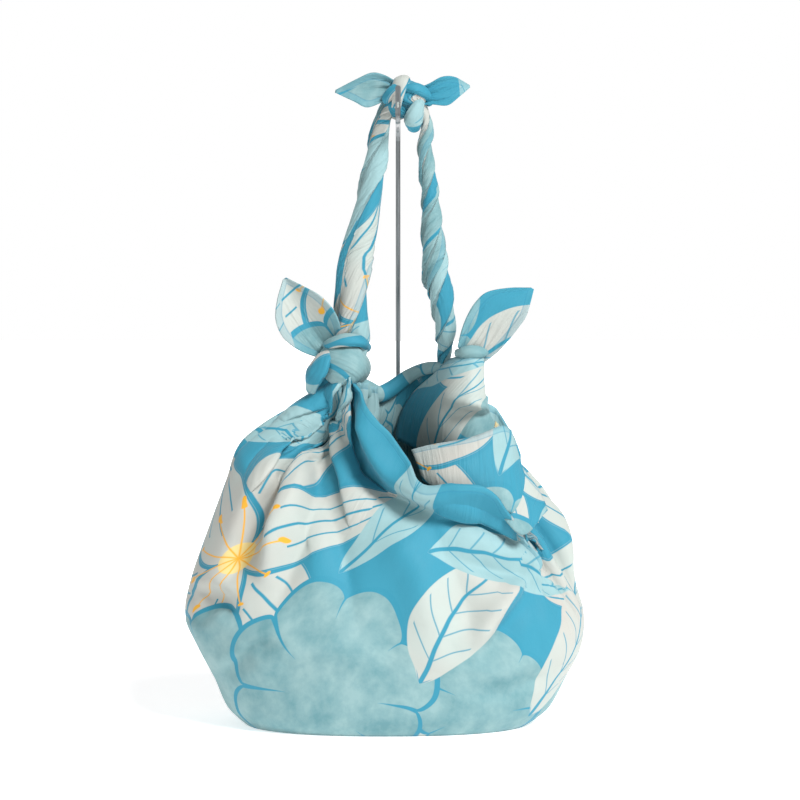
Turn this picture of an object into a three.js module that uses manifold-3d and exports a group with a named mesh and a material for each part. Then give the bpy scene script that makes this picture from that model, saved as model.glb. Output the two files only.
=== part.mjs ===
// A furoshiki: one square cloth tied as a shoulder bag, its handle knot hung on a plain rod stand.
// Millimetres, +Z up, the mouth's low side faces -Y. The origin is on the surface it stands on.

import * as THREE from 'three';
import { mergeVertices } from 'three/addons/utils/BufferGeometryUtils.js';
import Module from 'manifold-3d';

const wasm = await Module();
wasm.setup();

// ---- driving dimensions -------------------------------------------------------------------
const CLOTH_THICKNESS = 3.0; // one layer with its hem's body
const BODY_COLUMNS = 68; // grid steps around the bag
const SECTION_POWER = 2.35; // roundness of a level section: 2 is an ellipse, more is squarer
const FOLD_FOOT = { from: 4, to: 60 }; // folds fade in between these heights
const FOLD_EDGE = 40; // and over this distance from the bag's sides
const FOLD_HEM = { from: 0.78, less: 0.85 }; // towards the hem they lose this share of their depth
const FOLD_ENDS = { first: 0.15, grow: 3.5, fade: 2.2 }; // depth share at its start, then its slopes
const FOLD_SIDEWAYS = 0.35; // folds push out to the front and back more than to the sides
const FLOOR_RINGS = [0.45, 0.85]; // grid rings on the bottom, as shares of its outline
const BAND_ENDS = { share: 0.45, length: 0.08 }; // a knot's bands narrow to this share at their ends
const BAND_SLACK = 1; // and are this much fuller each way than the cloth they fold
const WELD = 1e-4; // points closer than this are one
const JOIN_TOLERANCE = 0.02; // slivers smaller than this are dropped where pieces join

const ROD_RADIUS = 2.4;
const ROD_X = 12; // the rod stands just right of the bag's middle
const ROD_GAP = 0.3; // clear space between the rod and the foot's plate
const POST_Y = 116; // behind the bag's back
const ARM_Z = 600; // level of the arm that carries the handle knot
const ARM_TIP_Y = -27; // the arm ends in front of the knot
const BACK_BEND = 16; // radius of the bend from the post to the arm
const TIP_BEND = 6; // radius of the bend up to the eye
const TIP_RISE = 8; // the rod's end above the arm, inside the eye
const EYE = { base: 5, height: 31, width: 5.2, thick: 2.4, slotLow: 9, slotHigh: 15, slotWidth: 1.8 };
const FOOT = { x: 118, y: 84, z: 6, corner: 12, centreY: 136 };

// The rolled back rim: between these angles of the rim, half width and half depth of the tube,
// how far it lies inside and below the edge, and how far its section leans.
const ROLL = { from: 42, to: 146, points: 9, wide: 8, deep: 5.5, inward: 3, below: 4, lean: 0.15 };

// Grid steps of the swept and wound pieces.
const DETAIL = {
  strandRows: 24, strandSides: 12, bandRows: 8, bandSides: 8, rollRows: 12, coreRows: 7, coreSides: 14,
  tailRows: 9, tailColumns: 4, layerRows: 4, layerColumns: 12, rodSides: 12, bendSteps: 6,
  eyeArc: 8, footArc: 5,
};

// Level sections of the bag: how far it reaches to each side at height z.
const SECTIONS = [
  { z: 0, left: -141, right: 142, front: -76, back: 66 },
  { z: 7, left: -149, right: 152, front: -84, back: 73 },
  { z: 19, left: -160, right: 165, front: -92, back: 80 },
  { z: 50, left: -173, right: 181, front: -103, back: 90 },
  { z: 78, left: -188, right: 195, front: -109, back: 96 },
  { z: 110, left: -201, right: 198, front: -112, back: 99 },
  { z: 145, left: -195, right: 189, front: -111, back: 98 },
  { z: 197, left: -177, right: 184, front: -106, back: 92 },
  { z: 246, left: -159, right: 158, front: -95, back: 84 },
  { z: 282, left: -145, right: 131, front: -80, back: 74 },
  { z: 310, left: -111, right: 118, front: -62, back: 66 },
  { z: 338, left: -84, right: 99, front: -44, back: 58 },
  { z: 374, left: -60, right: 84, front: -30, back: 50 },
];

// The rim, once around from the right side: angle in the section, where the hem lies, and the
// share of the column's height where it starts to lean to that place.
const RIM = [
  { angle: 0, x: 127, y: 0, z: 289, lean: 0.6 }, // back edge of the right side's slit
  { angle: 8, x: 111, y: 4, z: 315, lean: 0.65 },
  { angle: 20, x: 97, y: 10, z: 331, lean: 0.7 }, // foot of the right knot
  { angle: 40, x: 82, y: 12, z: 346, lean: 0.7 },
  { angle: 55, x: 66, y: 18, z: 357, lean: 0.6 },
  { angle: 72, x: 45, y: 38, z: 358, lean: 0.5 }, // back rim
  { angle: 90, x: 24, y: 56, z: 349, lean: 0.5 },
  { angle: 108, x: 4, y: 54, z: 335, lean: 0.5 },
  { angle: 120, x: -7, y: 49, z: 330, lean: 0.55 },
  { angle: 132, x: -18, y: 40, z: 335, lean: 0.6 },
  { angle: 150, x: -36, y: 24, z: 343, lean: 0.7 }, // foot of the left knot
  { angle: 180, x: -63, y: 0, z: 350, lean: 0.86 },
  { angle: 205, x: -60, y: -14, z: 350, lean: 0.84 },
  { angle: 228, x: -46, y: -22, z: 347, lean: 0.74 },
  { angle: 245, x: -28, y: -30, z: 341, lean: 0.6 },
  { angle: 258, x: 6, y: -62, z: 299, lean: 0.45 }, // front hem falls from the left knot
  { angle: 270, x: 37, y: -88, z: 257, lean: 0.45 },
  { angle: 285, x: 68, y: -96, z: 253, lean: 0.45 },
  { angle: 297, x: 95, y: -92, z: 248, lean: 0.45 },
  { angle: 305, x: 114, y: -84, z: 226, lean: 0.45 },
  { angle: 314, x: 136, y: -74, z: 202, lean: 0.5 },
  { angle: 323, x: 150, y: -66, z: 179, lean: 0.5 },
  { angle: 331, x: 156, y: -58, z: 167, lean: 0.5 }, // bottom of the slit, where the folds pinch together
  { angle: 339, x: 164, y: -44, z: 185, lean: 0.5 },
  { angle: 347, x: 165, y: -28, z: 223, lean: 0.5 },
  { angle: 354, x: 148, y: -12, z: 260, lean: 0.5 },
];

// Rows of the bag's wall, as shares of each column's height up to the rim.
const WALL_ROWS = [
  0.0, 0.025, 0.08, 0.16, 0.25, 0.34, 0.43, 0.51, 0.58, 0.65, 0.72, 0.79, 0.86, 0.93, 1.0,
];

// Main folds, each a crease through the points of its path (x, z): a trough if depth is below 0.
const FOLDS = [
  { side: -1, width: 14, depth: 14, path: [[-36, 346], [-56, 335], [-88, 320], [-124, 301]] },
  { side: -1, width: 15, depth: -23, path: [[-44, 334], [-60, 326], [-81, 310], [-111, 286], [-141, 267]] },
  { side: -1, width: 15, depth: 14, path: [[-48, 324], [-86, 291], [-121, 247], [-151, 188]] },
  { side: -1, width: 14, depth: -21, path: [[-48, 328], [-71, 305], [-99, 276], [-121, 232], [-161, 148]] },
  { side: -1, width: 17, depth: 11, path: [[-56, 309], [-86, 262], [-111, 197], [-121, 148]] },
  { side: -1, width: 17, depth: -14, path: [[-46, 326], [-56, 296], [-66, 231], [-96, 162], [-111, 120]] },
  { side: -1, width: 14, depth: 13, path: [[-44, 334], [-50, 281], [-46, 232], [-31, 197], [-21, 150]] },
  { side: -1, width: 17, depth: -17, path: [[-36, 334], [-36, 281], [-6, 240], [29, 221], [80, 208]] },
  { side: -1, width: 16, depth: -12, path: [[-38, 262], [-34, 197], [-26, 150], [-22, 110]] },
  { side: -1, width: 18, depth: 14, path: [[-26, 336], [-11, 290], [9, 260], [54, 240], [94, 222]] },
  { side: -1, width: 13, depth: 10, path: [[39, 250], [94, 247], [119, 232], [144, 200]] },
  { side: -1, width: 12, depth: -14, path: [[54, 219], [99, 212], [139, 190], [152, 182]] },
  { side: -1, width: 22, depth: 9, path: [[0, 210], [30, 170], [44, 120], [40, 70]] },
  { side: -1, width: 20, depth: -8, path: [[40, 214], [66, 170], [84, 120], [80, 70]] },
  { side: -1, width: 12, depth: -15, path: [[154, 164], [128, 160], [96, 170], [60, 184]] },
  { side: -1, width: 12, depth: -13, path: [[154, 164], [134, 140], [112, 112], [92, 72]] },
  { side: -1, width: 11, depth: -9, path: [[156, 162], [152, 132], [150, 96], [154, 60]] },
  { side: -1, width: 12, depth: 10, path: [[140, 160], [118, 134], [92, 108], [66, 92]] },
  { side: 1, width: 16, depth: -12, path: [[-36, 334], [-72, 282], [-104, 218], [-120, 150]] },
  { side: 1, width: 15, depth: -11, path: [[-20, 332], [-40, 268], [-50, 200], [-44, 130]] },
  { side: 1, width: 15, depth: -11, path: [[78, 338], [70, 278], [74, 210], [66, 140]] },
  { side: 1, width: 16, depth: -12, path: [[90, 330], [112, 268], [130, 210], [134, 150]] },
];

// Inner layers at the front right: each sheet hangs from its top edge past its middle to its foot.
const LAYERS = [
  {
    name: 'middle layer',
    top: [[25, -46, 279], [54, -58, 286], [84, -60, 295], [112, -48, 302], [124, -28, 296]],
    middle: [[31, -62, 266], [58, -78, 263], [88, -81, 262], [118, -67, 261], [137, -47, 252]],
    foot: [[36, -66, 252], [62, -84, 240], [92, -87, 230], [124, -76, 220], [150, -56, 208]],
  },
  {
    name: 'side layer',
    top: [[108, -40, 307], [124, -40, 290], [138, -38, 270], [154, -30, 248], [170, -16, 226]],
    middle: [[102, -58, 284], [113, -66, 260], [126, -66, 240], [146, -54, 218], [168, -34, 200]],
    foot: [[96, -66, 260], [104, -78, 234], [118, -80, 210], [140, -68, 186], [163, -47, 160]],
  },
  {
    name: 'shoulder layer',
    top: [[56, 26, 352], [62, 10, 362], [72, -8, 369], [86, -14, 373], [97, -6, 373], [99, 6, 369]],
    middle: [[22, 50, 320], [40, 16, 322], [60, -22, 322], [84, -38, 322], [100, -22, 318], [102, 5, 314]],
    foot: [[10, 53, 280], [34, 18, 272], [60, -20, 268], [90, -44, 270], [118, -26, 280], [128, 4, 286]],
  },
];

// Handle strands: centre line with the half width and half depth of the wound cloth.
const STRANDS = [
  {
    name: 'left strand', lobes: 2, lobeDepth: 0.14, turns: 0.85,
    stations: [
      { x: -36, y: -4, z: 352, wide: 19, deep: 17 },
      { x: -34, y: -2, z: 387, wide: 21, deep: 18 },
      { x: -33, y: 0, z: 423, wide: 20.5, deep: 18 },
      { x: -31, y: 1, z: 463, wide: 20, deep: 17 },
      { x: -23, y: 2, z: 504, wide: 16, deep: 15 },
      { x: -13, y: 2, z: 548, wide: 14.5, deep: 14 },
      { x: -8, y: 1, z: 581, wide: 13, deep: 12 },
      { x: -2, y: 0, z: 605, wide: 10.5, deep: 10 },
      { x: 6, y: -1, z: 621, wide: 9, deep: 9 },
    ],
  },
  {
    name: 'right strand', lobes: 3, lobeDepth: 0.15, turns: 3.1,
    stations: [
      { x: 64, y: 30, z: 340, wide: 8, deep: 8 },
      { x: 59, y: 25, z: 366, wide: 8.5, deep: 9 },
      { x: 59, y: 12, z: 392, wide: 12, deep: 12 },
      { x: 55, y: 4, z: 425, wide: 15, deep: 14 },
      { x: 50, y: 2, z: 455, wide: 16.5, deep: 15 },
      { x: 45, y: 2, z: 501, wide: 12.5, deep: 12 },
      { x: 43, y: 2, z: 538, wide: 10.5, deep: 10.5 },
      { x: 39, y: 2, z: 575, wide: 9, deep: 9 },
      { x: 40, y: 1, z: 599, wide: 7.5, deep: 8 },
      { x: 33, y: 0, z: 617, wide: 8, deep: 8 },
    ],
  },
];

// Knots: cores, and the bands of cloth that cross over them. A band's points are [x, y, z].
const KNOT_CORES = [
  { x: -43, y: -7, z: 360, rx: 21, ry: 20, rz: 23 },
  { x: 86, y: 4, z: 354, rx: 11, ry: 11, rz: 20 },
  { x: 22, y: 0, z: 625, rx: 19, ry: 15, rz: 14 },
  { x: ROD_X, y: 0, z: 616, rx: 12, ry: 12, rz: 13.3 }, // rests on the rod's arm
];
const KNOT_BANDS = [
  { name: 'left wrap', wide: 40, thick: 5, core: 0,
    path: [[-66, 8, 360], [-62, -14, 366], [-45, -29, 366], [-27, -25, 361], [-20, -4, 354]] },
  { name: 'left upper band', wide: 13, thick: 8, core: 0,
    path: [[-60, 2, 378], [-54, -16, 383], [-40, -24, 387], [-25, -18, 385], [-19, 0, 377]] },
  { name: 'left flap', wide: 26, thick: 6, core: 0,
    path: [[-54, -14, 370], [-62, -19, 362], [-67, -20, 352], [-70, -17, 342], [-70, -10, 332]] },
  { name: 'right neck', wide: 18, thick: 8, core: 1,
    path: [[70, -4, 372], [80, -16, 376], [92, -15, 376], [101, -3, 372]] },
  { name: 'top wrap', wide: 15, thick: 6, core: 2,
    path: [[20, 15, 629], [17, 8, 640], [14, -9, 642], [12, -16, 630], [10, -15, 614]] },
  { name: 'top lobe', wide: 19, thick: 9, core: 2,
    path: [[34, 0, 624], [32, -9, 612], [28, -9, 601], [28, -2, 594]] },
  { name: 'top right fold', wide: 10, thick: 6, core: 2,
    path: [[18, -13, 634], [30, -13, 634], [41, -4, 628], [43, 6, 619]] },
];

// Tails: leaf-shaped ends of the cloth's corners. Each station has its middle, half width, and
// the side direction's tilt; cup is how deep the leaf is hollowed towards -Y.
const TAILS = [
  { name: 'left tail', cup: 14, side: [0.86, 0.0, 0.5],
    stations: [
      { x: -52, y: -4, z: 369, half: 8 }, { x: -64, y: -8, z: 385, half: 22 },
      { x: -76, y: -11, z: 401, half: 28 }, { x: -87, y: -12, z: 417, half: 25 },
      { x: -95, y: -10, z: 431, half: 15 }, { x: -101, y: -6, z: 446, half: 2 },
    ] },
  { name: 'right tail', cup: 6, side: [0.8, 0.12, -0.5],
    stations: [
      { x: 84, y: -8, z: 370, half: 15 }, { x: 93, y: -9, z: 384, half: 21 },
      { x: 101, y: -10, z: 397, half: 24 }, { x: 110, y: -11, z: 410, half: 25 },
      { x: 120, y: -11, z: 421, half: 23 }, { x: 133, y: -8, z: 430, half: 13 },
      { x: 146, y: -5, z: 436, half: 2 },
    ] },
  { name: 'top left tail', cup: 6, side: [0.16, 0.0, 1],
    stations: [
      { x: 12, y: -4, z: 632, half: 6 }, { x: -2, y: -7, z: 633, half: 13 },
      { x: -16, y: -9, z: 632, half: 17 }, { x: -30, y: -9, z: 632, half: 11 },
      { x: -50, y: -6, z: 631, half: 1.5 },
    ] },
  { name: 'top right tail', cup: 5, side: [-0.2, 0.0, 1],
    stations: [
      { x: 30, y: -3, z: 625, half: 8 }, { x: 44, y: -7, z: 628, half: 10 },
      { x: 58, y: -8, z: 631, half: 14 }, { x: 70, y: -7, z: 635, half: 10 },
      { x: 83, y: -4, z: 636, half: 1.5 },
    ] },
];

// ---- small tools ----------------------------------------------------------------------------
const V = (x, y, z) => new THREE.Vector3(x, y, z);

// Smooth value of one column of a table at a given key, with the ends held.
function tableValue(table, key, column, at) {
  const last = table.length - 1;
  let i = 0;
  while (i < last - 1 && table[i + 1][key] < at) i += 1;
  const span = table[i + 1][key] - table[i][key];
  const t = THREE.MathUtils.clamp((at - table[i][key]) / span, 0, 1);
  const before = table[Math.max(i - 1, 0)];
  const after = table[Math.min(i + 2, last)];
  const slope = (a, b) => ((b[column] - a[column]) / (b[key] - a[key])) * span;
  const m0 = slope(before, table[i + 1]);
  const m1 = slope(table[i], after);
  const p0 = table[i][column];
  const p1 = table[i + 1][column];
  return (2 * t ** 3 - 3 * t ** 2 + 1) * p0 + (t ** 3 - 2 * t ** 2 + t) * m0
    + (3 * t ** 2 - 2 * t ** 3) * p1 + (t ** 3 - t ** 2) * m1;
}

// A closed solid from rings of points: a cap vertex closes each end.
function solidFromRings(rings, startCap, endCap) {
  const n = rings[0].length;
  const positions = [];
  const push = (p) => positions.push(p.x, p.y, p.z);
  rings.forEach((ring) => ring.forEach(push));
  push(startCap);
  push(endCap);
  const start = rings.length * n;
  const end = start + 1;
  const index = [];
  for (let r = 0; r < rings.length - 1; r += 1) {
    for (let i = 0; i < n; i += 1) {
      const a = r * n + i;
      const b = r * n + ((i + 1) % n);
      index.push(a, b, b + n, a, b + n, a + n);
    }
  }
  const lastRing = (rings.length - 1) * n;
  for (let i = 0; i < n; i += 1) {
    index.push(start, (i + 1) % n, i);
    index.push(end, lastRing + i, lastRing + ((i + 1) % n));
  }
  return toManifold(positions, index);
}

// Turns points and triangles into a solid, with its faces pointing out.
function toManifold(positions, index) {
  const make = (triangles) => {
    let geometry = new THREE.BufferGeometry();
    geometry.setAttribute('position', new THREE.Float32BufferAttribute(positions, 3));
    geometry.setIndex(triangles);
    geometry = mergeVertices(geometry, WELD);
    const mesh = new wasm.Mesh({
      numProp: 3,
      vertProperties: new Float32Array(geometry.attributes.position.array),
      triVerts: new Uint32Array(geometry.index.array),
    });
    return new wasm.Manifold(mesh);
  };
  const solid = make(index);
  if (solid.volume() > 0) return solid;
  const turned = [];
  for (let i = 0; i < index.length; i += 3) turned.push(index[i], index[i + 2], index[i + 1]);
  return make(turned);
}

// ---- the bag's body -------------------------------------------------------------------------
// Distance from a point to a path, and how far along the path the nearest point lies (0 to 1).
function nearPath(path, x, z) {
  let best = { distance: Infinity, along: 0 };
  for (let i = 0; i < path.length - 1; i += 1) {
    const [ax, az] = path[i];
    const [bx, bz] = path[i + 1];
    const dx = bx - ax;
    const dz = bz - az;
    const t = THREE.MathUtils.clamp(((x - ax) * dx + (z - az) * dz) / (dx * dx + dz * dz), 0, 1);
    const distance = Math.hypot(x - ax - t * dx, z - az - t * dz);
    if (distance < best.distance) best = { distance, along: (i + t) / (path.length - 1) };
  }
  return best;
}

// How far the folds push the cloth out at a point of the wall.
function foldHeight(x, y, z) {
  let height = 0;
  for (const fold of FOLDS) {
    if (Math.sign(y) !== fold.side) continue;
    const { distance, along } = nearPath(fold.path, x, z);
    const grown = Math.min(1, FOLD_ENDS.first + FOLD_ENDS.grow * along);
    const taper = grown * Math.min(1, FOLD_ENDS.fade * (1 - along));
    height += fold.depth * taper * Math.exp(-((distance / fold.width) ** 2));
  }
  const edgeOn = Math.min(1, Math.abs(y) / FOLD_EDGE);
  return height * edgeOn;
}

const rimTable = [...RIM, { ...RIM[0], angle: 360 }];
const rimPoint = (degrees) => V(
  tableValue(rimTable, 'angle', 'x', degrees),
  tableValue(rimTable, 'angle', 'y', degrees),
  tableValue(rimTable, 'angle', 'z', degrees),
);

// The point of a level section at a given angle.
function sectionPoint(degrees, z) {
  const at = (column) => tableValue(SECTIONS, 'z', column, z);
  const a = THREE.MathUtils.degToRad(degrees);
  const round = (value) => Math.sign(value) * Math.abs(value) ** (2 / SECTION_POWER);
  const cx = (at('left') + at('right')) / 2;
  const cy = (at('front') + at('back')) / 2;
  return V(
    cx + ((at('right') - at('left')) / 2) * round(Math.cos(a)),
    cy + ((at('back') - at('front')) / 2) * round(Math.sin(a)),
    z,
  );
}

// Middle of the cloth on the wall: a level section that leans to the rim higher up, with folds.
function wallPoint(degrees, share) {
  const rim = rimPoint(degrees);
  const z = THREE.MathUtils.lerp(CLOTH_THICKNESS / 2, rim.z, share);
  const p = sectionPoint(degrees, z);
  const leanFrom = tableValue(rimTable, 'angle', 'lean', degrees);
  const lean = THREE.MathUtils.smoothstep(share, leanFrom, 1);
  p.x = THREE.MathUtils.lerp(p.x, rim.x, lean);
  p.y = THREE.MathUtils.lerp(p.y, rim.y, lean);
  const out = V(p.x * FOLD_SIDEWAYS, p.y, 0).normalize();
  const grow = THREE.MathUtils.smoothstep(z, FOLD_FOOT.from, FOLD_FOOT.to);
  const calm = 1 - FOLD_HEM.less * THREE.MathUtils.smoothstep(share, FOLD_HEM.from, 1);
  const push = foldHeight(p.x, p.y, p.z) * grow * calm;
  return p.addScaledVector(out, push);
}

// The wall and its bottom as one closed layer, from the floor's middle up to the rim and back.
function bodyShell() {
  const rows = [];
  const angles = Array.from({ length: BODY_COLUMNS }, (_, i) => (360 * i) / BODY_COLUMNS);
  FLOOR_RINGS.forEach((share) => rows.push(angles.map((a) => {
    const p = wallPoint(a, 0);
    return V(p.x * share, p.y * share, p.z);
  })));
  WALL_ROWS.forEach((share) => rows.push(angles.map((a) => wallPoint(a, share))));

  const n = BODY_COLUMNS;
  const normalAt = (r, i) => {
    const around = V(0, 0, 0).subVectors(rows[r][(i + 1) % n], rows[r][(i + n - 1) % n]);
    const up = V(0, 0, 0).subVectors(
      rows[Math.min(r + 1, rows.length - 1)][i],
      rows[Math.max(r - 1, 0)][i],
    );
    return around.cross(up).normalize();
  };
  const half = CLOTH_THICKNESS / 2;
  const offsetRows = (sign) => rows.map((row, r) => row.map((p, i) => {
    const normal = r < FLOOR_RINGS.length ? V(0, 0, -1) : normalAt(r, i);
    const moved = p.clone().addScaledVector(normal, sign * half);
    if (r === FLOOR_RINGS.length && sign > 0) moved.z = 0;
    return moved;
  }));
  const outer = offsetRows(1);
  const inner = offsetRows(-1).reverse();
  return solidFromRings([...outer, ...inner], V(0, 0, 0), V(0, 0, CLOTH_THICKNESS));
}

// A sheet of the cloth through its three edges, one of which lies half way down, as a thin solid.
function layerSheet({ top, middle, foot }) {
  const [topCurve, middleCurve, footCurve] = [top, middle, foot].map(
    (edge) => new THREE.CatmullRomCurve3(edge.map((p) => V(...p))),
  );
  const rows = [];
  for (let r = 0; r <= DETAIL.layerRows; r += 1) {
    const t = r / DETAIL.layerRows;
    rows.push(Array.from({ length: DETAIL.layerColumns + 1 }, (_, i) => {
      const s = i / DETAIL.layerColumns;
      return V(0, 0, 0)
        .addScaledVector(topCurve.getPoint(s), (1 - t) * (1 - 2 * t))
        .addScaledVector(middleCurve.getPoint(s), 4 * t * (1 - t))
        .addScaledVector(footCurve.getPoint(s), t * (2 * t - 1));
    }));
  }
  return thinSheet(rows);
}

// Thickens an open grid of points to both sides and closes its edges.
function thinSheet(rows) {
  const nr = rows.length;
  const nc = rows[0].length;
  const positions = [];
  const index = [];
  for (const sign of [1, -1]) {
    for (let r = 0; r < nr; r += 1) {
      for (let c = 0; c < nc; c += 1) {
        const along = V(0, 0, 0).subVectors(
          rows[r][Math.min(c + 1, nc - 1)], rows[r][Math.max(c - 1, 0)]);
        const down = V(0, 0, 0).subVectors(
          rows[Math.min(r + 1, nr - 1)][c], rows[Math.max(r - 1, 0)][c]);
        const normal = along.cross(down).normalize();
        const p = rows[r][c].clone().addScaledVector(normal, (sign * CLOTH_THICKNESS) / 2);
        positions.push(p.x, p.y, p.z);
      }
    }
  }
  const at = (side, r, c) => side * nr * nc + r * nc + c;
  const quad = (a, b, c, d) => index.push(a, b, c, a, c, d);
  for (let r = 0; r < nr - 1; r += 1) {
    for (let c = 0; c < nc - 1; c += 1) {
      quad(at(0, r, c), at(0, r, c + 1), at(0, r + 1, c + 1), at(0, r + 1, c));
      quad(at(1, r, c), at(1, r + 1, c), at(1, r + 1, c + 1), at(1, r, c + 1));
    }
  }
  for (let c = 0; c < nc - 1; c += 1) {
    quad(at(0, 0, c + 1), at(0, 0, c), at(1, 0, c), at(1, 0, c + 1));
    quad(at(0, nr - 1, c), at(0, nr - 1, c + 1), at(1, nr - 1, c + 1), at(1, nr - 1, c));
  }
  for (let r = 0; r < nr - 1; r += 1) {
    quad(at(0, r, 0), at(0, r + 1, 0), at(1, r + 1, 0), at(1, r, 0));
    quad(at(0, r + 1, nc - 1), at(0, r, nc - 1), at(1, r, nc - 1), at(1, r + 1, nc - 1));
  }
  return toManifold(positions, index);
}

// ---- swept pieces of wound cloth --------------------------------------------------------------
// Rings of an oval section along a curve, square to it. The section gives the half width, the
// half depth and raised lobes with their turn; curl bends its edges back by their distance squared.
function sweep(curve, steps, sides, sectionAt, widthDirection) {
  const rings = [];
  for (let s = 0; s <= steps; s += 1) {
    const t = s / steps;
    const centre = curve.getPoint(t);
    const tangent = curve.getTangent(t);
    const across = widthDirection(t, tangent);
    across.addScaledVector(tangent, -across.dot(tangent)).normalize();
    const depth = V(0, 0, 0).crossVectors(tangent, across).normalize();
    const { wide, deep, lobes = 0, lobeDepth = 0, turn = 0, curl = 0, out } = sectionAt(t);
    rings.push(Array.from({ length: sides }, (_, i) => {
      const a = (2 * Math.PI * i) / sides;
      const r = 1 + lobeDepth * Math.cos(lobes * a - turn);
      const u = wide * r * Math.cos(a);
      const p = centre.clone()
        .addScaledVector(across, u)
        .addScaledVector(depth, deep * r * Math.sin(a));
      return curl > 0 ? p.addScaledVector(out, -u * u * curl) : p;
    }));
  }
  return solidFromRings(rings, curve.getPoint(0), curve.getPoint(1));
}

function strand({ stations, lobes, lobeDepth, turns }) {
  const curve = new THREE.CatmullRomCurve3(stations.map((s) => V(s.x, s.y, s.z)));
  const keyed = stations.map((s, i) => ({ ...s, t: i / (stations.length - 1) }));
  const sectionAt = (t) => ({
    wide: tableValue(keyed, 't', 'wide', t),
    deep: tableValue(keyed, 't', 'deep', t),
    turn: 2 * Math.PI * turns * lobes * t,
    lobes,
    lobeDepth,
  });
  return sweep(curve, DETAIL.strandRows, DETAIL.strandSides, sectionAt, () => V(1, 0, 0));
}

// A flattened band that hugs a knot: it narrows to both ends and curls around the knot's core.
function band({ path, wide, thick, core }) {
  const curve = new THREE.CatmullRomCurve3(path.map((p) => V(...p)));
  const { x, y, z, rx } = KNOT_CORES[core];
  const middle = V(x, y, z);
  const outAt = (t) => V(0, 0, 0).subVectors(curve.getPoint(t), middle).normalize();
  const sectionAt = (t) => {
    const along = THREE.MathUtils.clamp(t, BAND_ENDS.length, 1 - BAND_ENDS.length);
    const taper = THREE.MathUtils.lerp(BAND_ENDS.share, 1, Math.sin(Math.PI * along));
    return {
      wide: (wide / 2) * taper + BAND_SLACK,
      deep: thick / 2 + BAND_SLACK,
      curl: 1 / (2 * rx),
      out: outAt(t),
    };
  };
  const direction = (t, tangent) => V(0, 0, 0).crossVectors(outAt(t), tangent).normalize();
  return sweep(curve, DETAIL.bandRows, DETAIL.bandSides, sectionAt, direction);
}

function knotCore({ x, y, z, rx, ry, rz }) {
  const rings = [];
  for (let r = 1; r < DETAIL.coreRows; r += 1) {
    const a = (Math.PI * r) / DETAIL.coreRows;
    rings.push(Array.from({ length: DETAIL.coreSides }, (_, i) => {
      const b = (2 * Math.PI * i) / DETAIL.coreSides;
      return V(
        x + rx * Math.sin(a) * Math.cos(b),
        y + ry * Math.sin(a) * Math.sin(b),
        z - rz * Math.cos(a),
      );
    }));
  }
  return solidFromRings(rings, V(x, y, z - rz), V(x, y, z + rz));
}

// A leaf-shaped end, hollowed along its middle in proportion to its width.
function tail({ stations, cup, side }) {
  const keyed = stations.map((s, i) => ({ ...s, t: i / (stations.length - 1) }));
  const widest = Math.max(...stations.map((s) => s.half));
  const direction = V(...side).normalize();
  const rows = [];
  for (let s = 0; s <= DETAIL.tailRows; s += 1) {
    const t = s / DETAIL.tailRows;
    const middle = V(...['x', 'y', 'z'].map((c) => tableValue(keyed, 't', c, t)));
    const half = tableValue(keyed, 't', 'half', t);
    rows.push(Array.from({ length: DETAIL.tailColumns + 1 }, (_, i) => {
      const w = (2 * i) / DETAIL.tailColumns - 1;
      const hollow = cup * (0.5 - w * w * (half / widest));
      return middle.clone().addScaledVector(direction, half * w).add(V(0, hollow, 0));
    }));
  }
  return thinSheet(rows);
}

// The back rim is rolled over into a soft tube from knot to knot, just inside the wall's edge.
function backRoll() {
  const { from, to, wide, deep, inward, below, lean } = ROLL;
  const points = Array.from(
    { length: ROLL.points },
    (_, i) => rimPoint(from + ((to - from) * i) / (ROLL.points - 1)),
  );
  const curve = new THREE.CatmullRomCurve3(points.map((p) => V(p.x, p.y - inward, p.z - below)));
  const section = { wide, deep };
  return sweep(curve, DETAIL.rollRows, DETAIL.bandSides, () => section, () => V(0, lean, 1));
}

function clothSolid() {
  const pieces = [
    bodyShell(),
    ...LAYERS.map(layerSheet),
    backRoll(),
    ...STRANDS.map(strand),
    ...KNOT_CORES.map(knotCore),
    ...KNOT_BANDS.map(band),
    ...TAILS.map(tail),
  ];
  const joined = pieces.reduce((sum, piece) => sum.add(piece)).simplify(JOIN_TOLERANCE);
  // pockets of air shut in between the pieces have a negative volume, and are filled
  return joined.decompose().find((body) => body.volume() > 0);
}

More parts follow.
